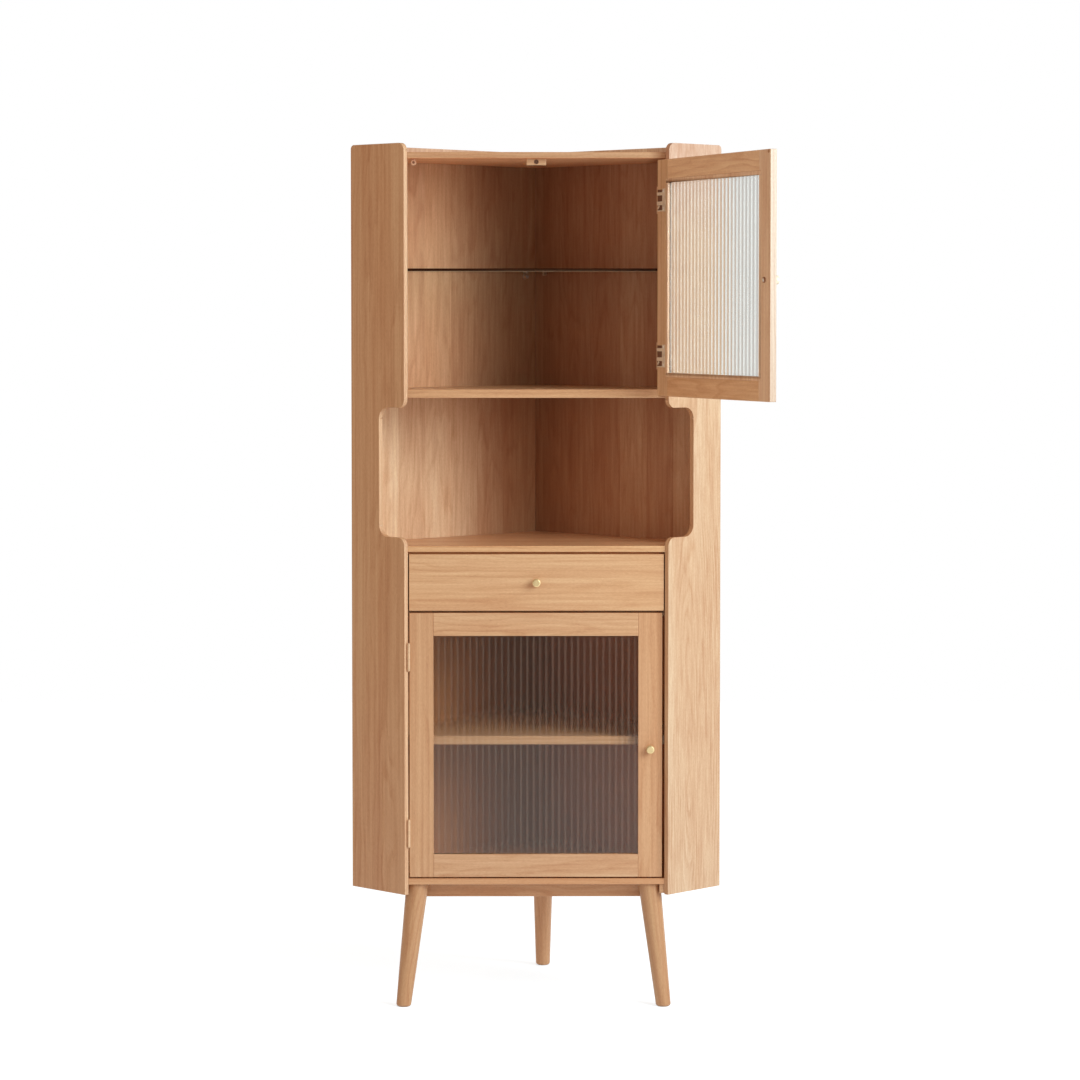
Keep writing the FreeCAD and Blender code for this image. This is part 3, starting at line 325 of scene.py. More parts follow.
def make_dull(name, colour, roughness, sheen=0.5):
    """Plastic, rubber or paint with a fine mottle; sheen is how strongly it mirrors."""
    s = Shader(name)
    place = s.node("TexCoord").outputs["Object"]
    mottle = s.noise(place, MOTTLE_SCALE, 3.0, 0.6)
    pale = s.mix(1.0, colour, PALE_MOTTLE, "MULTIPLY")
    tone = s.mix(s.spread(mottle, 0.4, 0.7), colour, pale)
    surface = s.node("BsdfPrincipled", {"Base Color": tone, "Roughness": roughness,
                                        "Specular IOR Level": sheen, "Normal": s.bump(mottle, 0.1, 0.0002)})
    return s.finish(surface.outputs[0])


EARLY = linear(201, 147, 104)
LATE = linear(224, 184, 145)
BLUSH = (0.93, 0.85, 0.80, 1)
PALE_EARLY = linear(202, 158, 114)
PALE_LATE = linear(226, 190, 150)
BRUSHED = (1.0, 1.0, 0.05)

materials = {
    "wood": make_wood("wood", EARLY, LATE, BLUSH),
    "wood_strips": make_wood("wood_strips", EARLY, LATE, BLUSH, strips=True, figure=0.62),
    "wood_bold": make_wood("wood_bold", EARLY, LATE, BLUSH, figure=0.82, knots=True),
    "wood_matt": make_wood("wood_matt", EARLY, LATE, BLUSH, gloss=0.05, dull=0.35),
    "inner_wood": make_wood("inner_wood", PALE_EARLY, PALE_LATE, BLUSH),
    "brass": make_metal("brass", linear(244, 218, 164), 0.34, BRUSHED, metallic=0.5),
    # Brass painted pale, nearly white, for the upper knob: painted light
    "lit_brass": make_metal("lit_brass", linear(250, 240, 218), 0.45, BRUSHED, metallic=0.1),
    "nickel": make_metal("nickel", linear(236, 198, 160), 0.40, BRUSHED, metallic=0.35),
    "plate": make_metal("plate", linear(240, 220, 192), 0.42, BRUSHED, metallic=0.2),
    "plate_screw": make_metal("plate_screw", linear(255, 246, 232), 0.36, BRUSHED, metallic=0.2),
    "steel": make_metal("steel", linear(212, 208, 202), 0.34, (1.0, 1.0, 0.08)),
    "lower_ribbed_glass": make_glass(
        "lower_ribbed_glass", (0.94, 0.79, 0.67, 1), 0.16, 1.75, (0.74, 0.66, 0.58, 1),
        frost="BsdfDiffuse", frosted=0.033, frost_colour=(0.95, 0.76, 0.65, 1),
        rib_shade_tone=(0.89, 0.73, 0.61, 1), mirrored=(0.52, 0.49, 0.47, 1)),
    "upper_ribbed_glass": make_glass(
        "upper_ribbed_glass", (1.0, 1.0, 1.0, 1), 0.22, 1.18, (1.0, 1.0, 1.0, 1),
        frost="BsdfTranslucent", frosted=0.18, frost_colour=(0.85, 0.90, 0.90, 1),
        rib_shade_tone=(0.745, 0.75, 0.77, 1)),
    "shelf_glass": make_glass("shelf_glass", (0.90, 0.94, 0.92, 1), 0.0, 1.5, (0.90, 0.94, 0.92, 1)),
    "shelf_edge": make_dull("shelf_edge", linear(46, 24, 12), 0.25, sheen=0.1),
    # A painted highlight along the glass shelf's lower arris
    "shelf_arris": make_dull("shelf_arris", linear(140, 120, 94), 0.3),
    "magnet": make_dull("magnet", linear(64, 44, 31), 0.5),
    "cup": make_dull("cup", linear(146, 102, 72), 0.4),
    # Dark: the hinges' recesses, partly oxide and partly painted shade; a ring of painted shade round the
    # stop magnet; the screws' middles
    "recess": make_dull("recess", linear(112, 74, 52), 0.6),
    "buffer": make_dull("buffer", linear(206, 160, 128), 0.4),
    "buffer_core": make_dull("buffer_core", linear(120, 76, 52), 0.5),
    "pin_plastic": make_dull("pin_plastic", linear(176, 150, 124), 0.3),
    "strike_paint": make_dull("strike_paint", linear(176, 130, 92), 0.4),
}


# Pieces

SAME_PLACE = 2e-6
FLAT_ANGLE = math.radians(0.4)
WOOD_SMOOTH = math.radians(50)


def seeded(name):
    """A random stream of a piece's own, the same in every run."""
    return random.Random("cabinet " + name)


def cleaned(node):
    """A new mesh with the CAD node's shape, its flat faces whole."""
    mesh = frame["nodes"][node].data.copy()
    shape = bmesh.new()
    shape.from_mesh(mesh)
    bpy.data.meshes.remove(mesh)
    bmesh.ops.remove_doubles(shape, verts=shape.verts, dist=SAME_PLACE)
    bmesh.ops.dissolve_limit(shape, angle_limit=FLAT_ANGLE, verts=shape.verts, edges=shape.edges)
    return shape


def soften(shape, width, shortest=0.004, sharp=math.radians(28), segments=3):
    """Round the sharp edges that are long enough to show."""
    edges = [edge for edge in shape.edges
             if len(edge.link_faces) == 2 and edge.calc_face_angle(0) > sharp
             and edge.calc_length() > shortest]
    bmesh.ops.bevel(shape, geom=edges, offset=width, segments=segments, profile=0.5,
                    affect="EDGES", clamp_overlap=True, offset_type="OFFSET")


def piece_from(shape, name, material, smooth=math.radians(32), even=False):
    """An object from a bmesh, with soft shading up to the given angle; even keeps large faces flat."""
    mesh = bpy.data.meshes.new(name)
    shape.to_mesh(mesh)
    shape.free()
    mesh.polygons.foreach_set("use_smooth", [True] * len(mesh.polygons))
    mesh.set_sharp_from_angle(angle=smooth)
    obj = bpy.data.objects.new(name, mesh)
    bpy.context.scene.collection.objects.link(obj)
    mesh.materials.append(materials[material])
    if even:
        obj.modifiers.new("even", "WEIGHTED_NORMAL").keep_sharp = True
    return obj


def stand_for(obj, *nodes):
    """The piece rides on its nodes' body and replaces them."""
    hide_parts(*nodes)
    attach(obj, body_of[nodes[0]])
    return obj


def dress(obj, node):
    """A piece that only dresses a CAD node: it rides with it."""
    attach(obj, body_of[node])


def reach(node, axis):
    """The lowest and highest place of a node's points along an axis."""
    places = [vert.co.dot(axis) for vert in frame["nodes"][node].data.vertices]
    return min(places), max(places)


def sides_of(node):
    """A node's points on the cabinet's left and on its right."""
    points = [vert.co for vert in frame["nodes"][node].data.vertices]
    return [point for point in points if point.x < 0], [point for point in points if point.x > 0]


OVERLAP = 0.0002


def box_between(low, high, axes=(RIGHT, BACK, UP)):
    """A new mesh of a box between two corners, which are given along three square axes."""
    shape = bmesh.new()
    bmesh.ops.create_cube(shape, size=1.0)
    for vert in shape.verts:
        places = [first if side < 0 else second for side, first, second in zip(vert.co, low, high)]
        vert.co = sum((axis * place for axis, place in zip(axes, places)), Vector())
    bmesh.ops.recalc_face_normals(shape, faces=shape.faces)
    return shape


def facing(rest, *pairs, limit=0.5):
    """A rule for tints: each pair is a direction and the tint of the faces that look along it;
    limit is the cosine of the largest angle between them."""
    def rule(face):
        for direction, tint in pairs:
            if face.normal.dot(direction) > limit:
                return tint
        return rest
    return rule


def stacked(heights, values):
    """A rule that gives a value for each layer between rising heights."""
    return lambda face: values[sum(face.center.z > height for height in heights)]


def lined(outward, outside, rule):
    """A rule that keeps one value for the faces that look outward."""
    return lambda face: outside if face.normal.dot(outward) > 0.5 else rule(face)


def add_tint(obj, name, tint, shade=1.0):
    """Write a tint, or what a rule gives for each face, as an attribute."""
    tones = []
    for face in obj.data.polygons:
        tone = tint(face) if callable(tint) else tint
        tones += [part * shade for part in tone] * face.loop_total
    obj.data.attributes.new(name, "FLOAT_VECTOR", "CORNER").data.foreach_set("vector", tones)


def add_grain(obj, along, across, pith, taper=0.0, spread=0.02, tint=(1, 1, 1), far_tint=None,
              offset=None, centred=False):
    """Write where each point lies in its tree: pith is how deep the heart is behind the piece. The
    heart stands off the mean of the points, or with centred off the middle of the whole span."""
    chance = seeded(obj.name)
    depth = along.cross(across)
    verts = obj.data.vertices
    middle = sum((vert.co for vert in verts), Vector()) / len(verts)
    if centred:
        places = [vert.co.dot(across) for vert in verts]
        middle += across * ((min(places) + max(places)) / 2 - middle.dot(across))
    slide = chance.uniform(-3, 3)
    heart_across = chance.uniform(-spread, spread) if offset is None else offset
    heart_depth = pith * chance.uniform(0.85, 1.2)
    values = []
    for vert in verts:
        place = vert.co - middle
        run = place.dot(along)
        values += [run + slide, place.dot(across) - heart_across,
                   place.dot(depth) + heart_depth + taper * run]
    obj.data.attributes.new("wood", "FLOAT_VECTOR", "POINT").data.foreach_set("vector", values)
    shade = chance.uniform(0.97, 1.03)
    add_tint(obj, "tint", tint, shade)
    if far_tint:
        add_tint(obj, "far_tint", far_tint, shade)


def wooden(node, along, across, width, material="wood", cuts=(), shade=None, **grain):
    """A wooden CAD piece with its edges eased and its grain laid; cuts part its faces at heights.
    A shade is painted shade: an axis, where along it the piece starts to grow darker, where it is darkest,
    and the tone."""
    shape = cleaned(node)
    planes = [(UP, cut) for cut in cuts]
    if shade:
        planes += [(shade[0], shade[1]), (shade[0], shade[2])]
    for normal, place in planes:
        geometry = shape.verts[:] + shape.edges[:] + shape.faces[:]
        bmesh.ops.bisect_plane(shape, geom=geometry, plane_co=normal * place, plane_no=normal)
    soften(shape, width)
    obj = piece_from(shape, node + "_wood", material, WOOD_SMOOTH, even=True)
    add_grain(obj, along, across, **grain)
    if shade:
        paint_shade(obj, *shade)
    return stand_for(obj, node)


def paint_shade(obj, axis, start, end, tone):
    """Paint shade: multiply the tint by a darker tone that sets in between two places along an axis."""
    tint = obj.data.attributes["tint"].data
    for corner, loop in enumerate(obj.data.loops):
        along = (obj.data.vertices[loop.vertex_index].co.dot(axis) - start) / (end - start)
        share = min(max(along, 0.0), 1.0)
        old = tint[corner].vector
        tint[corner].vector = [value * (1 + share * (part - 1)) for value, part in zip(old, tone)]


# Walls: painted shade, darker in the corner than at the front, for the lower compartment, the niche and
# the upper compartment, and painted light in the gallery
LEFT_CORNER_LIGHT_AND_SHADE = ((0.47, 0.31, 0.25), (0.62, 0.485, 0.42), (0.555, 0.445, 0.40), (1.08, 1.22, 1.50))
LEFT_FRONT_LIGHT_AND_SHADE = ((0.89, 0.85, 0.87), (1.13, 1.19, 1.26), (1.08, 0.97, 0.93), (1.08, 1.22, 1.50))
# Where along each wall the painted shade starts and ends, and how much painted light lifts the corner line
LEFT_SHADE_SPANS = ((0.14, 0.64, 0.05), (0.11, 0.57, 0.13), (0.14, 0.64, 0.38), (0.0, 1.0, 0.0))
RIGHT_CORNER_LIGHT_AND_SHADE = ((0.50, 0.29, 0.23), (0.42, 0.325, 0.275), (0.49, 0.39, 0.345), (1.15, 1.40, 1.70))
RIGHT_FRONT_LIGHT_AND_SHADE = ((0.92, 0.59, 0.46), (0.73, 0.62, 0.595), (0.74, 0.61, 0.61), (1.15, 1.40, 1.70))
RIGHT_SHADE_SPANS = ((-0.24, 0.56, 0.0), (-0.24, 0.56, 0.06), (-0.24, 0.56, 0.08), (0.0, 1.0, 0.0))
# Wings: the left wing in painted shade, its end face a painted highlight; the right wing's outer face in
# painted light, its other faces and its top in painted shade
LEFT_WING_SHADE_TINT = (0.96, 0.89, 0.80)
LEFT_WING_EDGE_HIGHLIGHT = (1.03, 1.03, 1.06)
RIGHT_WING_LIT_TINT = (0.985, 1.075, 1.18)
RIGHT_WING_TOP_SHADE = (0.925, 0.895, 1.015)
RIGHT_WING_EDGE_SHADE = (0.90, 0.82, 0.74)
STILE_TINT = (0.93, 0.84, 0.77)
RAIL_TINTS = {"top": (1.00, 0.99, 0.96), "bottom": (0.95, 0.885, 0.845)}
DRAWER_TINT = (1.01, 0.955, 0.88)
APRON_TINT = (1.0, 0.90, 0.81)
BOARD_TINTS = {
    "bottom_board": (0.95, 0.82, 0.71),
    "counter_board": facing((1.05, 0.95, 0.86), (-BACK, (1.08, 1.07, 0.97))),
    "niche_ceiling_board": (0.91, 0.83, 0.75),
    # The top board's underside is painted lighter: painted light
    "top_board": facing((0.86, 0.84, 0.84), (-UP, (1.34, 1.10, 1.00))),
    "lower_shelf": (1.15, 1.38, 1.65),
}
LEG_TINT = (0.87, 0.79, 0.70)
REAR_LEG_TINT = (1.08, 1.00, 0.93)
# Painted light on the doors' inner faces: the open upper door's stiles and rails, and the beads
INNER_HINGE_LIGHT = (1.07, 1.04, 0.96)
INNER_FREE_LIGHT = (1.22, 1.30, 1.40)
INNER_RAIL_LIGHTS = {"top": (1.27, 1.33, 1.33), "bottom": (1.20, 1.21, 1.12)}
STOP_TINT = (0.88, 0.82, 0.76)
# Painted light in the gaps: faces that look into a gap are painted lighter and warmer than their shade
GAP_LIGHT_TINT = (1.20, 0.97, 0.70)
# A painted highlight on the upper door's free edge
FREE_EDGE_HIGHLIGHT = (0.92, 1.11, 1.42)
# Painted shade on the upper hinge stile's edge beside the pane
REVEAL_SHADE = (0.74, 0.62, 0.54)
# Painted light on the undersides of the upper door's rails and of the beads
RAIL_UNDER_LIGHT = (1.3, 1.6, 2.0)
# Painted shade on the beads' sides
BEAD_SIDE_SHADE = (0.72, 0.64, 0.58)
# Painted light on the posts' front faces, which show in the gaps
POST_LIGHT_TINT = (1.5, 1.15, 0.75)
OUTSIDE_TINT = (0.98, 0.98, 0.98)
OUTSIDE_REACH = (0.0, 1.0, 0.0)
# A painted shadow on the top board's right end
TOP_SHADE = (RIGHT, 0.232, 0.260, (0.49, 0.37, 0.31))
# Painted shade along the lower door's free stile, next to the wing
STILE_SHADE_TONE = (0.74, 0.68, 0.64)
STILE_SHADE_START = 0.014
STILE_SHADE_END = 0.001
# Painted shade near the right wing's top
WING_SHADE_START = 0.20
WING_SHADE_END = 0.04

# How far each kind of piece's edges are rounded
WALL_ROUND = 0.0008
WING_ROUND = 0.0016
BOARD_ROUND = 0.0018
BEARER_ROUND = 0.0012
APRON_ROUND = 0.0015
POST_ROUND = 0.0008
SMALL_ROUND = 0.0010
DOOR_ROUND = 0.0011
BEAD_ROUND = 0.0006
DRAWER_ROUND = 0.0013
SHEET_ROUND = 0.0005


def make_panels():
    """The two back panels, whose inner faces carry painted shade that changes from layer to layer, and the
    two wings, with painted light and shade.
    """
    heights = [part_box(node)[1].z for node in ("counter_board", "niche_ceiling_board", "top_board")]
    for node, across, outward, corner, front, reaches in (
            ("right_back_panel", RIGHT_WALL, -LEFT_WALL,
             RIGHT_CORNER_LIGHT_AND_SHADE, RIGHT_FRONT_LIGHT_AND_SHADE, RIGHT_SHADE_SPANS),
            ("left_back_panel", LEFT_WALL, -RIGHT_WALL,
             LEFT_CORNER_LIGHT_AND_SHADE, LEFT_FRONT_LIGHT_AND_SHADE, LEFT_SHADE_SPANS)):
        # The inner faces carry painted shade, darker towards the corner, and painted light in the gallery;
        # the outer faces keep a plain tint
        wall = wooden(node, UP, across, WALL_ROUND, "wood_strips", cuts=heights, pith=0.10, taper=0.05,
                      offset=0.0, centred=True,
                      tint=lined(outward, OUTSIDE_TINT, stacked(heights, corner)),
                      far_tint=lined(outward, OUTSIDE_TINT, stacked(heights, front)))
        add_tint(wall, "reach", lined(outward, OUTSIDE_REACH, stacked(heights, reaches)))
    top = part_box("right_wing_panel")[1].z
    # The right wing: painted light on its lit outer face, painted shade on its other faces and near its top
    wooden("right_wing_panel", UP, LEFT_WALL, WING_ROUND, "wood_bold", pith=0.05, taper=0.09, offset=0.0,
           tint=facing(RIGHT_WING_EDGE_SHADE, (RIGHT_WALL, RIGHT_WING_LIT_TINT)),
           shade=(UP, top - WING_SHADE_START, top - WING_SHADE_END, RIGHT_WING_TOP_SHADE))
    # The left wing: painted shade on its outer face and a painted highlight on its end face
    wooden("left_wing_panel", UP, RIGHT_WALL, WING_ROUND, pith=0.16, taper=0.01, offset=0.03,
           tint=facing(LEFT_WING_SHADE_TINT, (RIGHT_WALL, LEFT_WING_EDGE_HIGHLIGHT)))


def make_boards():
    """The level boards, the apron, the posts and the stop block."""
    for node, tint in BOARD_TINTS.items():
        # The top board gets a painted shadow at its right end, beside the wing
        shade = TOP_SHADE if node == "top_board" else None
        finish = "wood_matt" if node == "top_board" else "wood"
        wooden(node, RIGHT, BACK, BOARD_ROUND, finish, pith=0.12, taper=0.01, tint=tint, shade=shade)
    wooden("drawer_bearer", RIGHT, BACK, BEARER_ROUND, "inner_wood", pith=0.14)
    wooden("front_apron", RIGHT, UP, APRON_ROUND, pith=0.10, tint=APRON_TINT)
    for level in ("lower", "upper"):
        for side in ("left", "right"):
            # The posts' front faces carry painted light
            wooden(f"{level}_{side}_post", UP, RIGHT, POST_ROUND, pith=0.12,
                   tint=facing((1, 1, 1), (-BACK, POST_LIGHT_TINT)))
    wooden("stop_block", RIGHT, UP, SMALL_ROUND, pith=0.10, tint=STOP_TINT)


def dress_with_wood(name, shape, width, node, tint):
    """A small wooden piece that only the scene has, with its edges rounded."""
    soften(shape, width, segments=2)
    obj = piece_from(shape, name, "wood", WOOD_SMOOTH, even=True)
    add_grain(obj, RIGHT, UP, pith=0.12, tint=tint)
    dress(obj, node)


BATTEN_HALF = 0.2668
BATTEN_DROP = 0.010
BATTEN_DEPTH = 0.004
BATTEN_CLEARANCE = 0.0015
BATTEN_ROUND = 0.0004


def make_batten():
    """A thin batten under the counter, behind the drawer front, that closes the gap above it; it carries the
    gaps' painted light.
    """
    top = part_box("counter_board")[0].z
    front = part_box("drawer_front")[1].y + BATTEN_CLEARANCE
    shape = box_between((-BATTEN_HALF, front, top - BATTEN_DROP),
                        (BATTEN_HALF, front + BATTEN_DEPTH, top + OVERLAP))
    dress_with_wood("counter_batten", shape, BATTEN_ROUND, "counter_board", GAP_LIGHT_TINT)


BLOCK_DROP = 0.0185
BLOCK_LEFT = 0.2570
BLOCK_RIGHT = 0.2699
BLOCK_FRONT = -0.4935
BLOCK_BACK = -0.4700
BLOCK_ROUND = 0.0008


def make_corner_block():
    """A small block under the bottom board, between the right front leg and the wing, in the wing's painted
    shade.
    """
    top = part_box("bottom_board")[0].z
    shape = box_between((BLOCK_LEFT, BLOCK_FRONT, top - BLOCK_DROP), (BLOCK_RIGHT, BLOCK_BACK, top + OVERLAP))
    dress_with_wood("right_corner_block", shape, BLOCK_ROUND, "bottom_board", RIGHT_WING_EDGE_SHADE)


# Stations of round pieces are a radius, a height along the axis and the finish up to there
PEG_STATIONS = [(0, -0.0005, None), (0.0062, -0.0005, "steel"), (0.0062, 0.0020, "steel"),
                (0.0050, 0.0026, "pin_plastic"), (0.0048, 0.0080, "pin_plastic"), (0.0030, 0.0090, "steel"),
                (0, 0.0090, "steel")]
PEG_DROP = 0.0064
REAR_PINS = -0.2


def make_shelf_peg():
    """The flanged peg that shows under the glass shelf on the left wall."""
    rear = [vert.co for vert in frame["nodes"]["glass_shelf_pins"].data.vertices
            if vert.co.y > REAR_PINS and vert.co.x < 0]
    middle = sum(rear, Vector()) / len(rear)
    face = reach("left_back_panel", LEFT_OUT)[0]
    place = middle + LEFT_OUT * (face - middle.dot(LEFT_OUT))
    place.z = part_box("glass_shelf")[0].z - PEG_DROP
    dress(turned("glass_shelf_peg", place, -LEFT_OUT, PEG_STATIONS, 28), "glass_shelf_pins")


LEG_END = 0.001


def make_legs():
    """The three legs, whose grain runs along their lean."""
    for node in ("front_left_leg", "front_right_leg", "rear_leg"):
        shape = cleaned(node)
        obj = piece_from(shape, node + "_wood", "wood", WOOD_SMOOTH)
        low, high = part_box(node)
        foot = [vert.co for vert in obj.data.vertices if vert.co.z < low.z + LEG_END]
        top = [vert.co for vert in obj.data.vertices if vert.co.z > high.z - LEG_END]
        lean = sum(top, Vector()) / len(top) - sum(foot, Vector()) / len(foot)
        along = lean.normalized()
        tint = REAR_LEG_TINT if node == "rear_leg" else LEG_TINT
        add_grain(obj, along, along.cross(BACK).normalized(), pith=0.05, tint=tint)
        stand_for(obj, node)


def edged(rest, sides):
    """A rule that gives the faces that look straight along one of the sides the gaps' painted light."""
    return facing(rest, *[(side, GAP_LIGHT_TINT) for side in sides], limit=0.98)


def make_door(level, along, inward):
    """A door's frame: along runs from the hinge side to the free side, inward into the cabinet."""
    sides = (along, -along, UP, -UP)
    # Faces that look into a gap get its painted light
    stile_tints = [edged(STILE_TINT, sides)] * 2
    rail_tints = [edged(RAIL_TINTS[end], sides) for end in RAIL_TINTS]
    # The open upper door: painted light on its inner faces and under its rails, a painted highlight on its
    # free edge, and painted shade on the hinge stile's edge beside the pane
    if level == "upper":
        stile_tints = [facing(STILE_TINT, (inward, INNER_HINGE_LIGHT), (along, REVEAL_SHADE)),
                       facing(STILE_TINT, (inward, INNER_FREE_LIGHT), (along, FREE_EDGE_HIGHLIGHT))]
        rail_tints = [facing(RAIL_TINTS[end], (inward, INNER_RAIL_LIGHTS[end]), (-UP, RAIL_UNDER_LIGHT))
                      for end in RAIL_TINTS]
    for side, tint in zip(("hinge", "free"), stile_tints):
        node = f"{level}_door_{side}_stile"
        shade = None
        # Painted shade along the lower door's free stile, next to the wing
        if node == "lower_door_free_stile":
            edge = reach(node, along)[1]
            shade = (along, edge - STILE_SHADE_START, edge - STILE_SHADE_END, STILE_SHADE_TONE)
        wooden(node, UP, along, DOOR_ROUND, pith=0.14, taper=0.008, tint=tint, shade=shade)
    for end, tint in zip(RAIL_TINTS, rail_tints):
        wooden(f"{level}_door_{end}_rail", along, UP, DOOR_ROUND, pith=0.05, taper=0.035, spread=0.03,
               tint=tint)
    # Beads: painted light on their inner faces and undersides, painted shade on their sides
    wooden(f"{level}_door_beads", UP, along, BEAD_ROUND, pith=0.14,
           tint=facing(STILE_TINT, (inward, INNER_FREE_LIGHT), (along, BEAD_SIDE_SHADE),
                       (-UP, RAIL_UNDER_LIGHT)))


def make_drawer():
    """The drawer's front and its plain box, and the guides that it runs between."""
    # The front's edges that look into a gap get its painted light
    wooden("drawer_front", RIGHT, UP, DRAWER_ROUND, pith=0.07, taper=0.02, spread=0.03,
           tint=edged(DRAWER_TINT, (UP, -UP, RIGHT, -RIGHT)))
    for node in ("drawer_left_side", "drawer_right_side"):
        wooden(node, BACK, UP, SMALL_ROUND, "inner_wood", pith=0.14)
    wooden("drawer_back", RIGHT, UP, SMALL_ROUND, "inner_wood", pith=0.14)
    wooden("drawer_bottom", RIGHT, BACK, SHEET_ROUND, "inner_wood", pith=0.14)
    wooden("drawer_guides", BACK, UP, SMALL_ROUND, "inner_wood", pith=0.14)


RIB_PITCHES = {"lower": 0.0132, "upper": 0.0164}
# How much of each rib is its frosted light line; the rest of the rib is painted darker as shade
LIGHT_SHARES = {"lower": 0.25, "upper": 0.45}
RIB_LAND = 0.0005
RIB_DEPTHS = {"lower": 0.00038, "upper": 0.0005}
RIB_STEPS = 8
RIB_HEIGHT = 0.0014
SMOOTH_FACE = 0.9
PANE_SMOOTH = math.radians(24)


def make_ribbed_pane(level, along, inward):
    """A pane with shallow round ribs on its inner face; along and inward as for a door. The
    attribute "groove" is 0 on each rib's light line and 1 on the rest of it, which the glass paints
    darker as shade."""
    node = f"{level}_door_glass"
    pitch = RIB_PITCHES[level]
    left, right = reach(node, along)
    front, crest = reach(node, inward)
    low, high = reach(node, UP)
    valley = crest - RIB_HEIGHT
    count = int((right - left - RIB_LAND) / pitch)
    margin = (right - left - count * pitch) / 2
    profile = [(left, 0.0, 1.0)]
    for rib in range(count):
        start = left + margin + rib * pitch
        for step in range(RIB_STEPS + 1):
            turn = step / RIB_STEPS
            lift = RIB_DEPTHS[level] * (1 - (2 * turn - 1) ** 2)
            groove = 0.0 if turn <= LIGHT_SHARES[level] else 1.0
            profile.append((start + RIB_LAND / 2 + turn * (pitch - RIB_LAND), lift, groove))
    profile.append((right, 0.0, 1.0))
    shape = bmesh.new()
    columns = []
    for place, lift, _ in profile:
        points = [along * place + inward * depth + UP * z
                  for depth, z in ((front, low), (front, high), (valley + lift, high), (valley + lift, low))]
        columns.append([shape.verts.new(point) for point in points])
    for first, second in zip(columns, columns[1:]):
        for corner in range(4):
            following = (corner + 1) % 4
            shape.faces.new((first[corner], first[following], second[following], second[corner]))
    shape.faces.new(columns[0])
    shape.faces.new(reversed(columns[-1]))
    bmesh.ops.recalc_face_normals(shape, faces=shape.faces)
    obj = piece_from(shape, f"{level}_door_ribbed_pane", f"{level}_ribbed_glass", PANE_SMOOTH)
    groove = []
    for _, _, dark in profile:
        groove += [dark] * 4
    obj.data.attributes.new("groove", "FLOAT", "POINT").data.foreach_set("value", groove)
    plain = [float(face.normal.dot(inward) < -SMOOTH_FACE) for face in obj.data.polygons]
    obj.data.attributes.new("plain", "FLOAT", "FACE").data.foreach_set("value", plain)
    stand_for(obj, node)


SHELF_ARRIS = 0.0006
SHELF_SMOOTH = math.radians(20)
LEVEL_FACE = 0.95
ARRIS_FACE = 0.3


def make_glass_shelf():
    """A clear shelf whose polished edges get a dark plain finish, with a light line painted as a highlight
    along their lower arris.
    """
    shape = cleaned("glass_shelf")
    soften(shape, SHELF_ARRIS, segments=1)
    obj = piece_from(shape, "glass_shelf_pane", "shelf_glass", SHELF_SMOOTH)
    obj.data.materials.append(materials["shelf_edge"])
    obj.data.materials.append(materials["shelf_arris"])
    for face in obj.data.polygons:
        if -ARRIS_FACE < face.normal.z < LEVEL_FACE:
            face.material_index = 1
        elif -LEVEL_FACE < face.normal.z < -ARRIS_FACE:
            face.material_index = 2
    stand_for(obj, "glass_shelf")


def add_bands(obj, finishes):
    """Give an object several finishes and return each one's index."""
    places = {}
    for finish in finishes:
        if finish not in places:
            places[finish] = len(obj.data.materials)
            obj.data.materials.append(materials[finish])
    return places


def turned(name, centre, axis, stations, steps=36):
    """A round piece about an axis through centre. Each station is a radius, a height along the axis
    and the finish of the band that reaches it; the first and last radius are 0."""
    side = UP.cross(axis).normalized()
    over = axis.cross(side)
    shape = bmesh.new()
    rings = []
    for radius, height, _ in stations:
        turns = range(steps) if radius else range(1)
        rings.append([shape.verts.new(centre + axis * height
                                      + side * (radius * math.cos(2 * math.pi * turn / steps))
                                      + over * (radius * math.sin(2 * math.pi * turn / steps)))
                      for turn in turns])
    bands = []
    for inner, outer, station in zip(rings, rings[1:], stations[1:]):
        for turn in range(steps):
            after = (turn + 1) % steps
            if len(inner) == 1:
                corners = (inner[0], outer[turn], outer[after])
            elif len(outer) == 1:
                corners = (inner[turn], outer[0], inner[after])
            else:
                corners = (inner[turn], outer[turn], outer[after], inner[after])
            shape.faces.new(corners)
            bands.append(station[2])
    bmesh.ops.recalc_face_normals(shape, faces=shape.faces)
    obj = piece_from(shape, name, stations[1][2], math.radians(40))
    obj.data.materials.clear()
    places = add_bands(obj, [station[2] for station in stations[1:]])
    for face, band in zip(obj.data.polygons, bands):
        face.material_index = places[band]
    return obj


COMB_STRIP = 0.0140
COMB_ARMS = ((-0.0235, -0.0210), (-0.0105, -0.0030), (0.0095, 0.0160))
COMB_LUMPS = ((0.0040, 0.0122), (0.0046, -0.0068), (0.0050, -0.0160), (0.0085, -0.0130))
LUMP_STATIONS = [(0, -0.0002, None), (0.0026, -0.0002, "plate"), (0.0026, 0.0003, "plate"),
                 (0.0016, 0.0009, "plate"), (0, 0.0010, "plate")]
COMB_ROUND = 0.0024
COMB_ARRIS = 0.0004
COMB_SCREW = 0.0185
COMB_SCREW_INSET = 0.0080
SCREW_STATIONS = [(0, -0.0002, None), (0.0030, -0.0002, "plate_screw"), (0.0030, 0.0002, "plate_screw"),
                  (0.0022, 0.0008, "plate_screw"), (0.0010, 0.0008, "plate_screw"), (0, 0.0005, "recess")]
RECESS_INSET = 0.0016
RECESS_DEPTH = 0.0004
RECESS_SUNK = 0.0001
RECESS_UNDER = 0.001
RECESS_SHORT = 0.002
RECESS_ARRIS = 0.0002
LEAF_CUT = 0.00004
TINY_EDGE = 0.0001


def door_place(along, inward, height):
    """A place on the open upper door."""
    return DOOR_ALONG * along + DOOR_INWARD * inward + UP * height


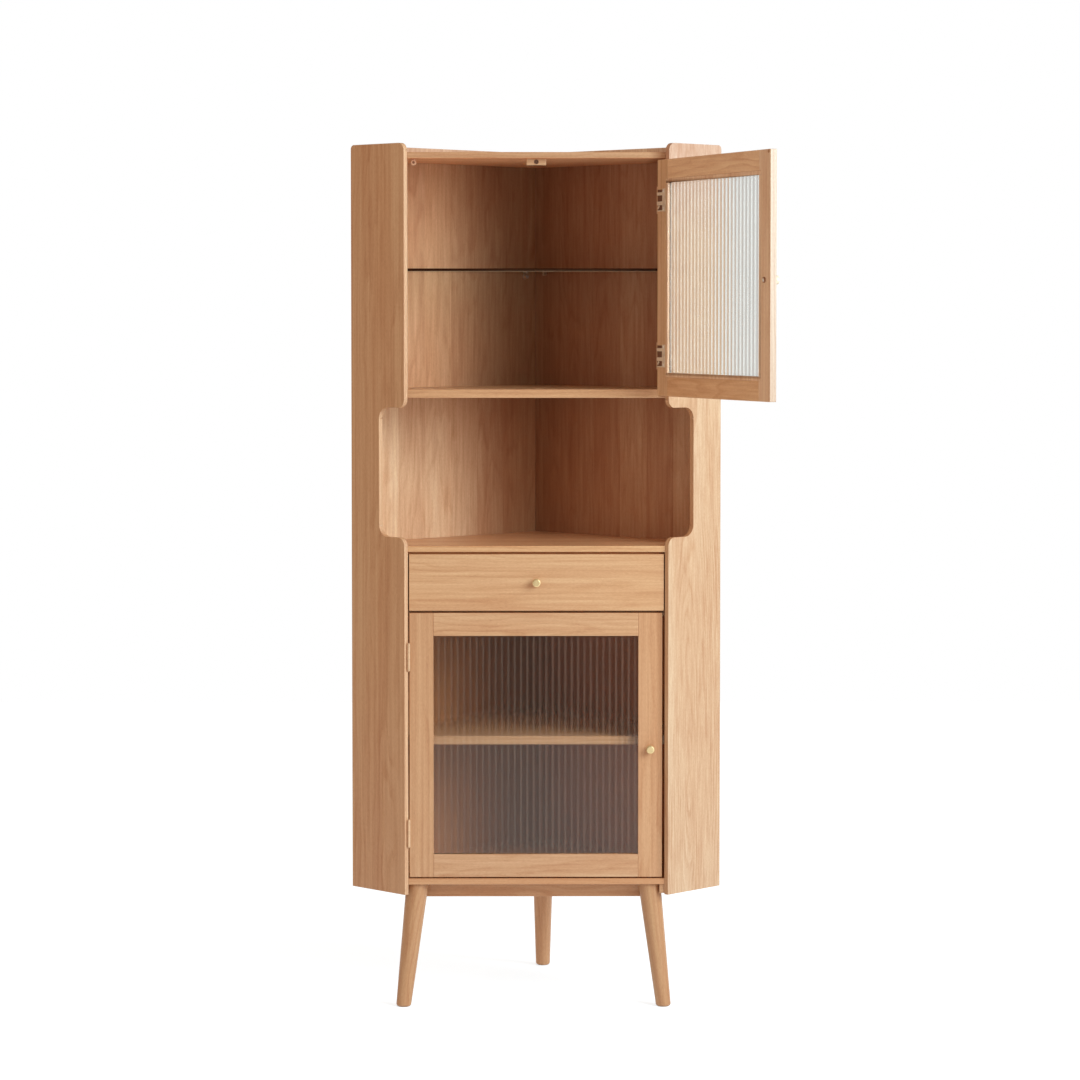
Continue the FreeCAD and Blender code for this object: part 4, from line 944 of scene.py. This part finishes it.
def make_comb(number, middle, start, end, face, crest):
    """One plate: a strip from which three rounded arms reach back to the pin."""
    strip = end - COMB_STRIP
    half = -COMB_ARMS[0][0]
    outline = []
    for low, high in COMB_ARMS:
        outline += [(strip, low), (start, low), (start, high), (strip, high)]
    outline = outline[1:] + [(strip, half), (end, half), (end, -half)]
    shape = bmesh.new()
    base = [shape.verts.new(door_place(along, face, middle + height)) for along, height in outline]
    raised = bmesh.ops.extrude_face_region(shape, geom=[shape.faces.new(base)])["geom"]
    bmesh.ops.translate(shape, vec=DOOR_INWARD * (crest - face),
                        verts=[part for part in raised if isinstance(part, bmesh.types.BMVert)])
    bmesh.ops.recalc_face_normals(shape, faces=shape.faces)
    upright = [edge for edge in shape.edges
               if abs((edge.verts[0].co - edge.verts[1].co).normalized().dot(DOOR_INWARD)) > SMOOTH_FACE]
    bmesh.ops.bevel(shape, geom=upright, offset=COMB_ROUND, segments=4, profile=0.5, affect="EDGES",
                    clamp_overlap=True)
    soften(shape, COMB_ARRIS, shortest=TINY_EDGE, segments=2)
    return piece_from(shape, f"upper_hinge_comb_{number}", "plate", WOOD_SMOOTH, even=True)


def make_recess(number, middle, start, end, face):
    """The dark recess behind a plate's arms: a thin dark sheet, partly oxide and partly painted shade."""
    half = -COMB_ARMS[0][0] - RECESS_SHORT
    shape = box_between((start + RECESS_INSET, face - RECESS_SUNK, middle - half),
                        (end - COMB_STRIP + RECESS_UNDER, face + RECESS_DEPTH, middle + half),
                        (DOOR_ALONG, DOOR_INWARD, UP))
    soften(shape, RECESS_ARRIS, shortest=TINY_EDGE, segments=1)
    return piece_from(shape, f"upper_hinge_recess_{number}", "recess", even=True)


def make_hinge_combs():
    """The upper hinges' leaves, cut back to the pin, and what shows on the door's inner face."""
    node = "upper_door_hinge_leaves"
    face = reach("upper_door_hinge_stile", DOOR_INWARD)[1]
    crest = reach(node, DOOR_INWARD)[1]
    end = reach(node, DOOR_ALONG)[1]
    start = reach("upper_door_hinge_stile", DOOR_ALONG)[0]
    shape = cleaned(node)
    geometry = shape.verts[:] + shape.edges[:] + shape.faces[:]
    bmesh.ops.bisect_plane(shape, geom=geometry, plane_co=DOOR_ALONG * (start + LEAF_CUT),
                           plane_no=DOOR_ALONG, clear_outer=True)
    bmesh.ops.holes_fill(shape, edges=[edge for edge in shape.edges if edge.is_boundary])
    heights = [vert.co.z for vert in shape.verts]
    half_way = (min(heights) + max(heights)) / 2
    stand_for(piece_from(shape, "upper_hinge_leaves", "nickel"), node)
    for number, above in enumerate((False, True), 1):
        own = [z for z in heights if (z > half_way) == above]
        middle = (min(own) + max(own)) / 2
        dress(make_comb(number, middle, start, end, face, crest), node)
        for name, height in (("low", -COMB_SCREW), ("high", COMB_SCREW)):
            place = door_place(end - COMB_SCREW_INSET, crest, middle + height)
            dress(turned(f"upper_hinge_{number}_{name}_screw", place, DOOR_INWARD, SCREW_STATIONS, 24), node)
        for order, (along, height) in enumerate(COMB_LUMPS, 1):
            place = door_place(start + along, face + RECESS_DEPTH, middle + height)
            dress(turned(f"upper_hinge_{number}_lump_{order}", place, DOOR_INWARD, LUMP_STATIONS, 20), node)
        dress(make_recess(number, middle, start, end, face), node)


RIM_SUNK = 0.0004
RIM_HEIGHT = 0.0006
RIM_FLOOR = 0.0001
MAGNET_BOWL = 0.0005
MAGNET_RIM = 1.5
FRONT_FACE = 0.0001


def make_magnet():
    """The stop block's magnet with its bowl, and a dark ring of painted shade round it."""
    low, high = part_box("stop_magnet")
    centre = (low + high) / 2
    radius = (high.z - low.z) / 2
    depth = high.y - low.y
    magnet = turned("stop_magnet_disc", Vector((centre.x, high.y, centre.z)), -BACK,
                    [(0, 0, None), (radius, 0, "magnet"), (radius, depth, "magnet"),
                     (radius * 0.62, depth, "magnet"), (radius * 0.56, depth - MAGNET_BOWL, "magnet"),
                     (0, depth - MAGNET_BOWL, "plate")])
    stand_for(magnet, "stop_magnet")
    outer = radius * MAGNET_RIM
    inner = radius * 1.02
    # A ring of painted shade round the magnet
    rim = turned("stop_magnet_rim", Vector((centre.x, low.y + RIM_SUNK, centre.z)), -BACK,
                 [(0, 0, None), (outer, 0, "recess"), (outer, RIM_HEIGHT, "recess"),
                  (inner, RIM_HEIGHT, "recess"), (inner, RIM_FLOOR, "recess"), (0, RIM_FLOOR, "recess")])
    dress(rim, "stop_magnet")


def make_catches():
    """Round buffers with a light rim and a dark core on the door catches."""
    for number, points in enumerate(sides_of("door_catches"), 1):
        front = min(point.y for point in points)
        round_part = [point for point in points if point.y < front + FRONT_FACE]
        middle = sum(round_part, Vector()) / len(round_part)
        radius = max((point - middle).length for point in round_part)
        rim = turned(f"door_catch_rim_{number}", Vector((middle.x, front + RIM_SUNK, middle.z)), -BACK,
                     [(0, 0, None), (radius * 0.97, 0, "buffer"), (radius * 0.97, RIM_HEIGHT, "buffer"),
                      (radius * 0.86, 0.0008, "buffer"), (radius * 0.50, 0.0008, "buffer"),
                      (radius * 0.44, 0.0005, "buffer_core"), (0, 0.0005, "buffer_core")])
        dress(rim, "door_catches")


KNOB_CUP_STATIONS = [(0, -0.0022, None), (0.0058, -0.0022, "cup"), (0.0057, -0.0002, "cup"),
                     (0.0050, 0.0008, "cup"), (0.0036, 0.0010, "cup"),
                     (0.0030, 0.0016, "plate_screw"), (0, 0.0022, "plate_screw")]


def make_knob_cup():
    """The cup under the upper knob's screw head, on the door's inner face."""
    node = "upper_door_knob_screw"
    points = [vert.co for vert in frame["nodes"][node].data.vertices]
    crest = max(point.dot(DOOR_INWARD) for point in points)
    middle = sum(points, Vector()) / len(points)
    place = middle + DOOR_INWARD * (crest - middle.dot(DOOR_INWARD))
    dress(turned("upper_door_knob_cup", place, DOOR_INWARD, KNOB_CUP_STATIONS), node)


def make_fittings():
    """Metal pieces whose CAD shape is right get their finish."""
    special = {"door_catches": "buffer", "glass_shelf_pins": "pin_plastic",
               "upper_door_strike": "strike_paint", "lower_door_strike": "strike_paint",
               # The upper knob is painted nearly white: painted light
               "upper_door_knob": "lit_brass",
               "upper_door_knob_screw": "plate_screw", "upper_door_hinge_screws": "plate_screw"}
    for node, obj in frame["nodes"].items():
        slot = slot_of[node]
        if slot not in ("brass", "steel", "magnet"):
            continue
        finish = special.get(node, "nickel" if "hinge" in node else slot)
        obj.data.materials.clear()
        obj.data.materials.append(materials[finish])


make_ribbed_pane("lower", RIGHT, BACK)
make_ribbed_pane("upper", DOOR_ALONG, DOOR_INWARD)
make_glass_shelf()
make_panels()
make_boards()
make_batten()
make_corner_block()
make_shelf_peg()
make_legs()
make_door("lower", RIGHT, BACK)
make_door("upper", DOOR_ALONG, DOOR_INWARD)
make_drawer()
make_hinge_combs()
make_magnet()
make_catches()
make_knob_cup()
make_fittings()


# Stage, light and camera

FLOOR_GRIT = 90.0
FLOOR_TONES = ((0.72, 0.78, 0.84, 1), (0.76, 0.82, 0.88, 1))
FIRST_BOUNCE = 0.5


def make_floor():
    """A pale floor that is white where the light reaches it and keeps the object's shadow."""
    s = Shader("floor")
    place = s.node("TexCoord").outputs["Object"]
    grit = s.noise(place, FLOOR_GRIT, 3.0, 0.6)
    colour = s.mix(s.spread(grit, 0.3, 0.7), *FLOOR_TONES)
    matt = s.node("BsdfDiffuse", {"Color": colour})
    seen = s.node("LightPath")
    looked_at = s.math("MAXIMUM", seen.outputs["Is Camera Ray"], seen.outputs["Is Glossy Ray"])
    looked_at = s.math("MAXIMUM", looked_at, seen.outputs["Is Transmission Ray"])
    direct = s.math("LESS_THAN", seen.outputs["Diffuse Depth"], FIRST_BOUNCE)
    looked_at = s.math("MULTIPLY", looked_at, direct)
    tone = s.mix(seen.outputs["Is Camera Ray"], FLOOR_GLOSS, FLOOR_GLOW)
    glow = s.node("Emission", {"Color": tone, "Strength": looked_at})
    s.finish(s.node("AddShader", {0: matt.outputs[0], 1: glow.outputs[0]}).outputs[0])
    shape = bmesh.new()
    bmesh.ops.create_grid(shape, x_segments=1, y_segments=1, size=FLOOR_HALF)
    mesh = bpy.data.meshes.new("floor")
    shape.to_mesh(mesh)
    shape.free()
    floor = bpy.data.objects.new("floor", mesh)
    bpy.context.scene.collection.objects.link(floor)
    mesh.materials.append(s.material)


def make_world():
    """White where it is seen, plainer where it is reflected, seen through glass or only lights."""
    world = bpy.data.worlds.new("studio")
    bpy.context.scene.world = world
    world.use_nodes = True
    tree = world.node_tree
    tree.nodes.clear()
    path = tree.nodes.new("ShaderNodeLightPath")
    direct = tree.nodes.new("ShaderNodeMath")
    direct.operation = "LESS_THAN"
    tree.links.new(path.outputs["Diffuse Depth"], direct.inputs[0])
    direct.inputs[1].default_value = FIRST_BOUNCE
    through = tree.nodes.new("ShaderNodeMath")
    through.operation = "MULTIPLY"
    tree.links.new(path.outputs["Is Transmission Ray"], through.inputs[0])
    tree.links.new(direct.outputs[0], through.inputs[1])
    reached = WORLD_FILL
    for ray, colour in ((path.outputs["Is Glossy Ray"], WORLD_GLOSS), (through.outputs[0], WORLD_THROUGH),
                        (path.outputs["Is Camera Ray"], (1, 1, 1, 1))):
        mix = tree.nodes.new("ShaderNodeMix")
        mix.data_type = "RGBA"
        tree.links.new(ray, mix.inputs[0])
        if isinstance(reached, tuple):
            mix.inputs[6].default_value = reached
        else:
            tree.links.new(reached, mix.inputs[6])
        mix.inputs[7].default_value = colour
        reached = mix.outputs[2]
    background = tree.nodes.new("ShaderNodeBackground")
    tree.links.new(reached, background.inputs["Color"])
    background.inputs["Strength"].default_value = 1.0
    output = tree.nodes.new("ShaderNodeOutputWorld")
    tree.links.new(background.outputs[0], output.inputs["Surface"])


def aimed(location, target):
    """The rotation that points a lamp's or camera's view from location to target."""
    return (Vector(target) - Vector(location)).to_track_quat("-Z", "Y").to_euler()


LAMP_TARGET = (0, -0.35, 0.95)


def add_lamp(name, azimuth, elevation, distance, size, power, colour, target=LAMP_TARGET):
    """A square soft lamp; azimuth 0 is in front, 90 to the cabinet's right."""
    a, e = math.radians(azimuth), math.radians(elevation)
    offset = Vector((math.sin(a) * math.cos(e), -math.cos(a) * math.cos(e), math.sin(e)))
    data = bpy.data.lights.new(name, "AREA")
    data.shape = "SQUARE"
    data.size = size
    data.energy = power
    data.color = colour
    lamp = bpy.data.objects.new(name, data)
    lamp.location = Vector(target) + offset * distance
    lamp.rotation_euler = aimed(lamp.location, target)
    bpy.context.scene.collection.objects.link(lamp)


FLOOR_HALF = 5.0
FLOOR_GLOW = (0.60, 0.665, 0.70, 1)
FLOOR_GLOSS = (0.52, 0.52, 0.50, 1)
WORLD_FILL = (0.60, 0.467, 0.382, 1)
WORLD_GLOSS = (0.20, 0.16, 0.13, 1)
WORLD_THROUGH = (0.745, 0.73, 0.68, 1)
make_floor()
make_world()
add_lamp("key", azimuth=50, elevation=20, distance=4.0, size=2.4, power=128, colour=(0.80, 0.95, 1.0))

CAMERA_PLACE = (-0.0327, -7.50, 1.4514)
CAMERA_PITCH = 2.737
CAMERA_YAW = -0.329
FOCAL_PIXELS = 3377
IMAGE_SIDE = 1080
SENSOR = 36.0
CAMERA_SHIFT = -0.062
VIEW_END = 200


def make_camera():
    """A still camera at the photograph's place; its angles are in degrees, its focal length in pixels."""
    data = bpy.data.cameras.new("camera")
    data.sensor_width = SENSOR
    data.lens = FOCAL_PIXELS * SENSOR / IMAGE_SIDE
    data.shift_y = CAMERA_SHIFT
    data.clip_end = VIEW_END
    camera = bpy.data.objects.new("camera", data)
    camera.location = CAMERA_PLACE
    camera.rotation_euler = (math.radians(90 - CAMERA_PITCH), 0, math.radians(CAMERA_YAW))
    bpy.context.scene.collection.objects.link(camera)
    bpy.context.scene.camera = camera


make_camera()
bpy.context.scene.view_settings.view_transform = "Standard"
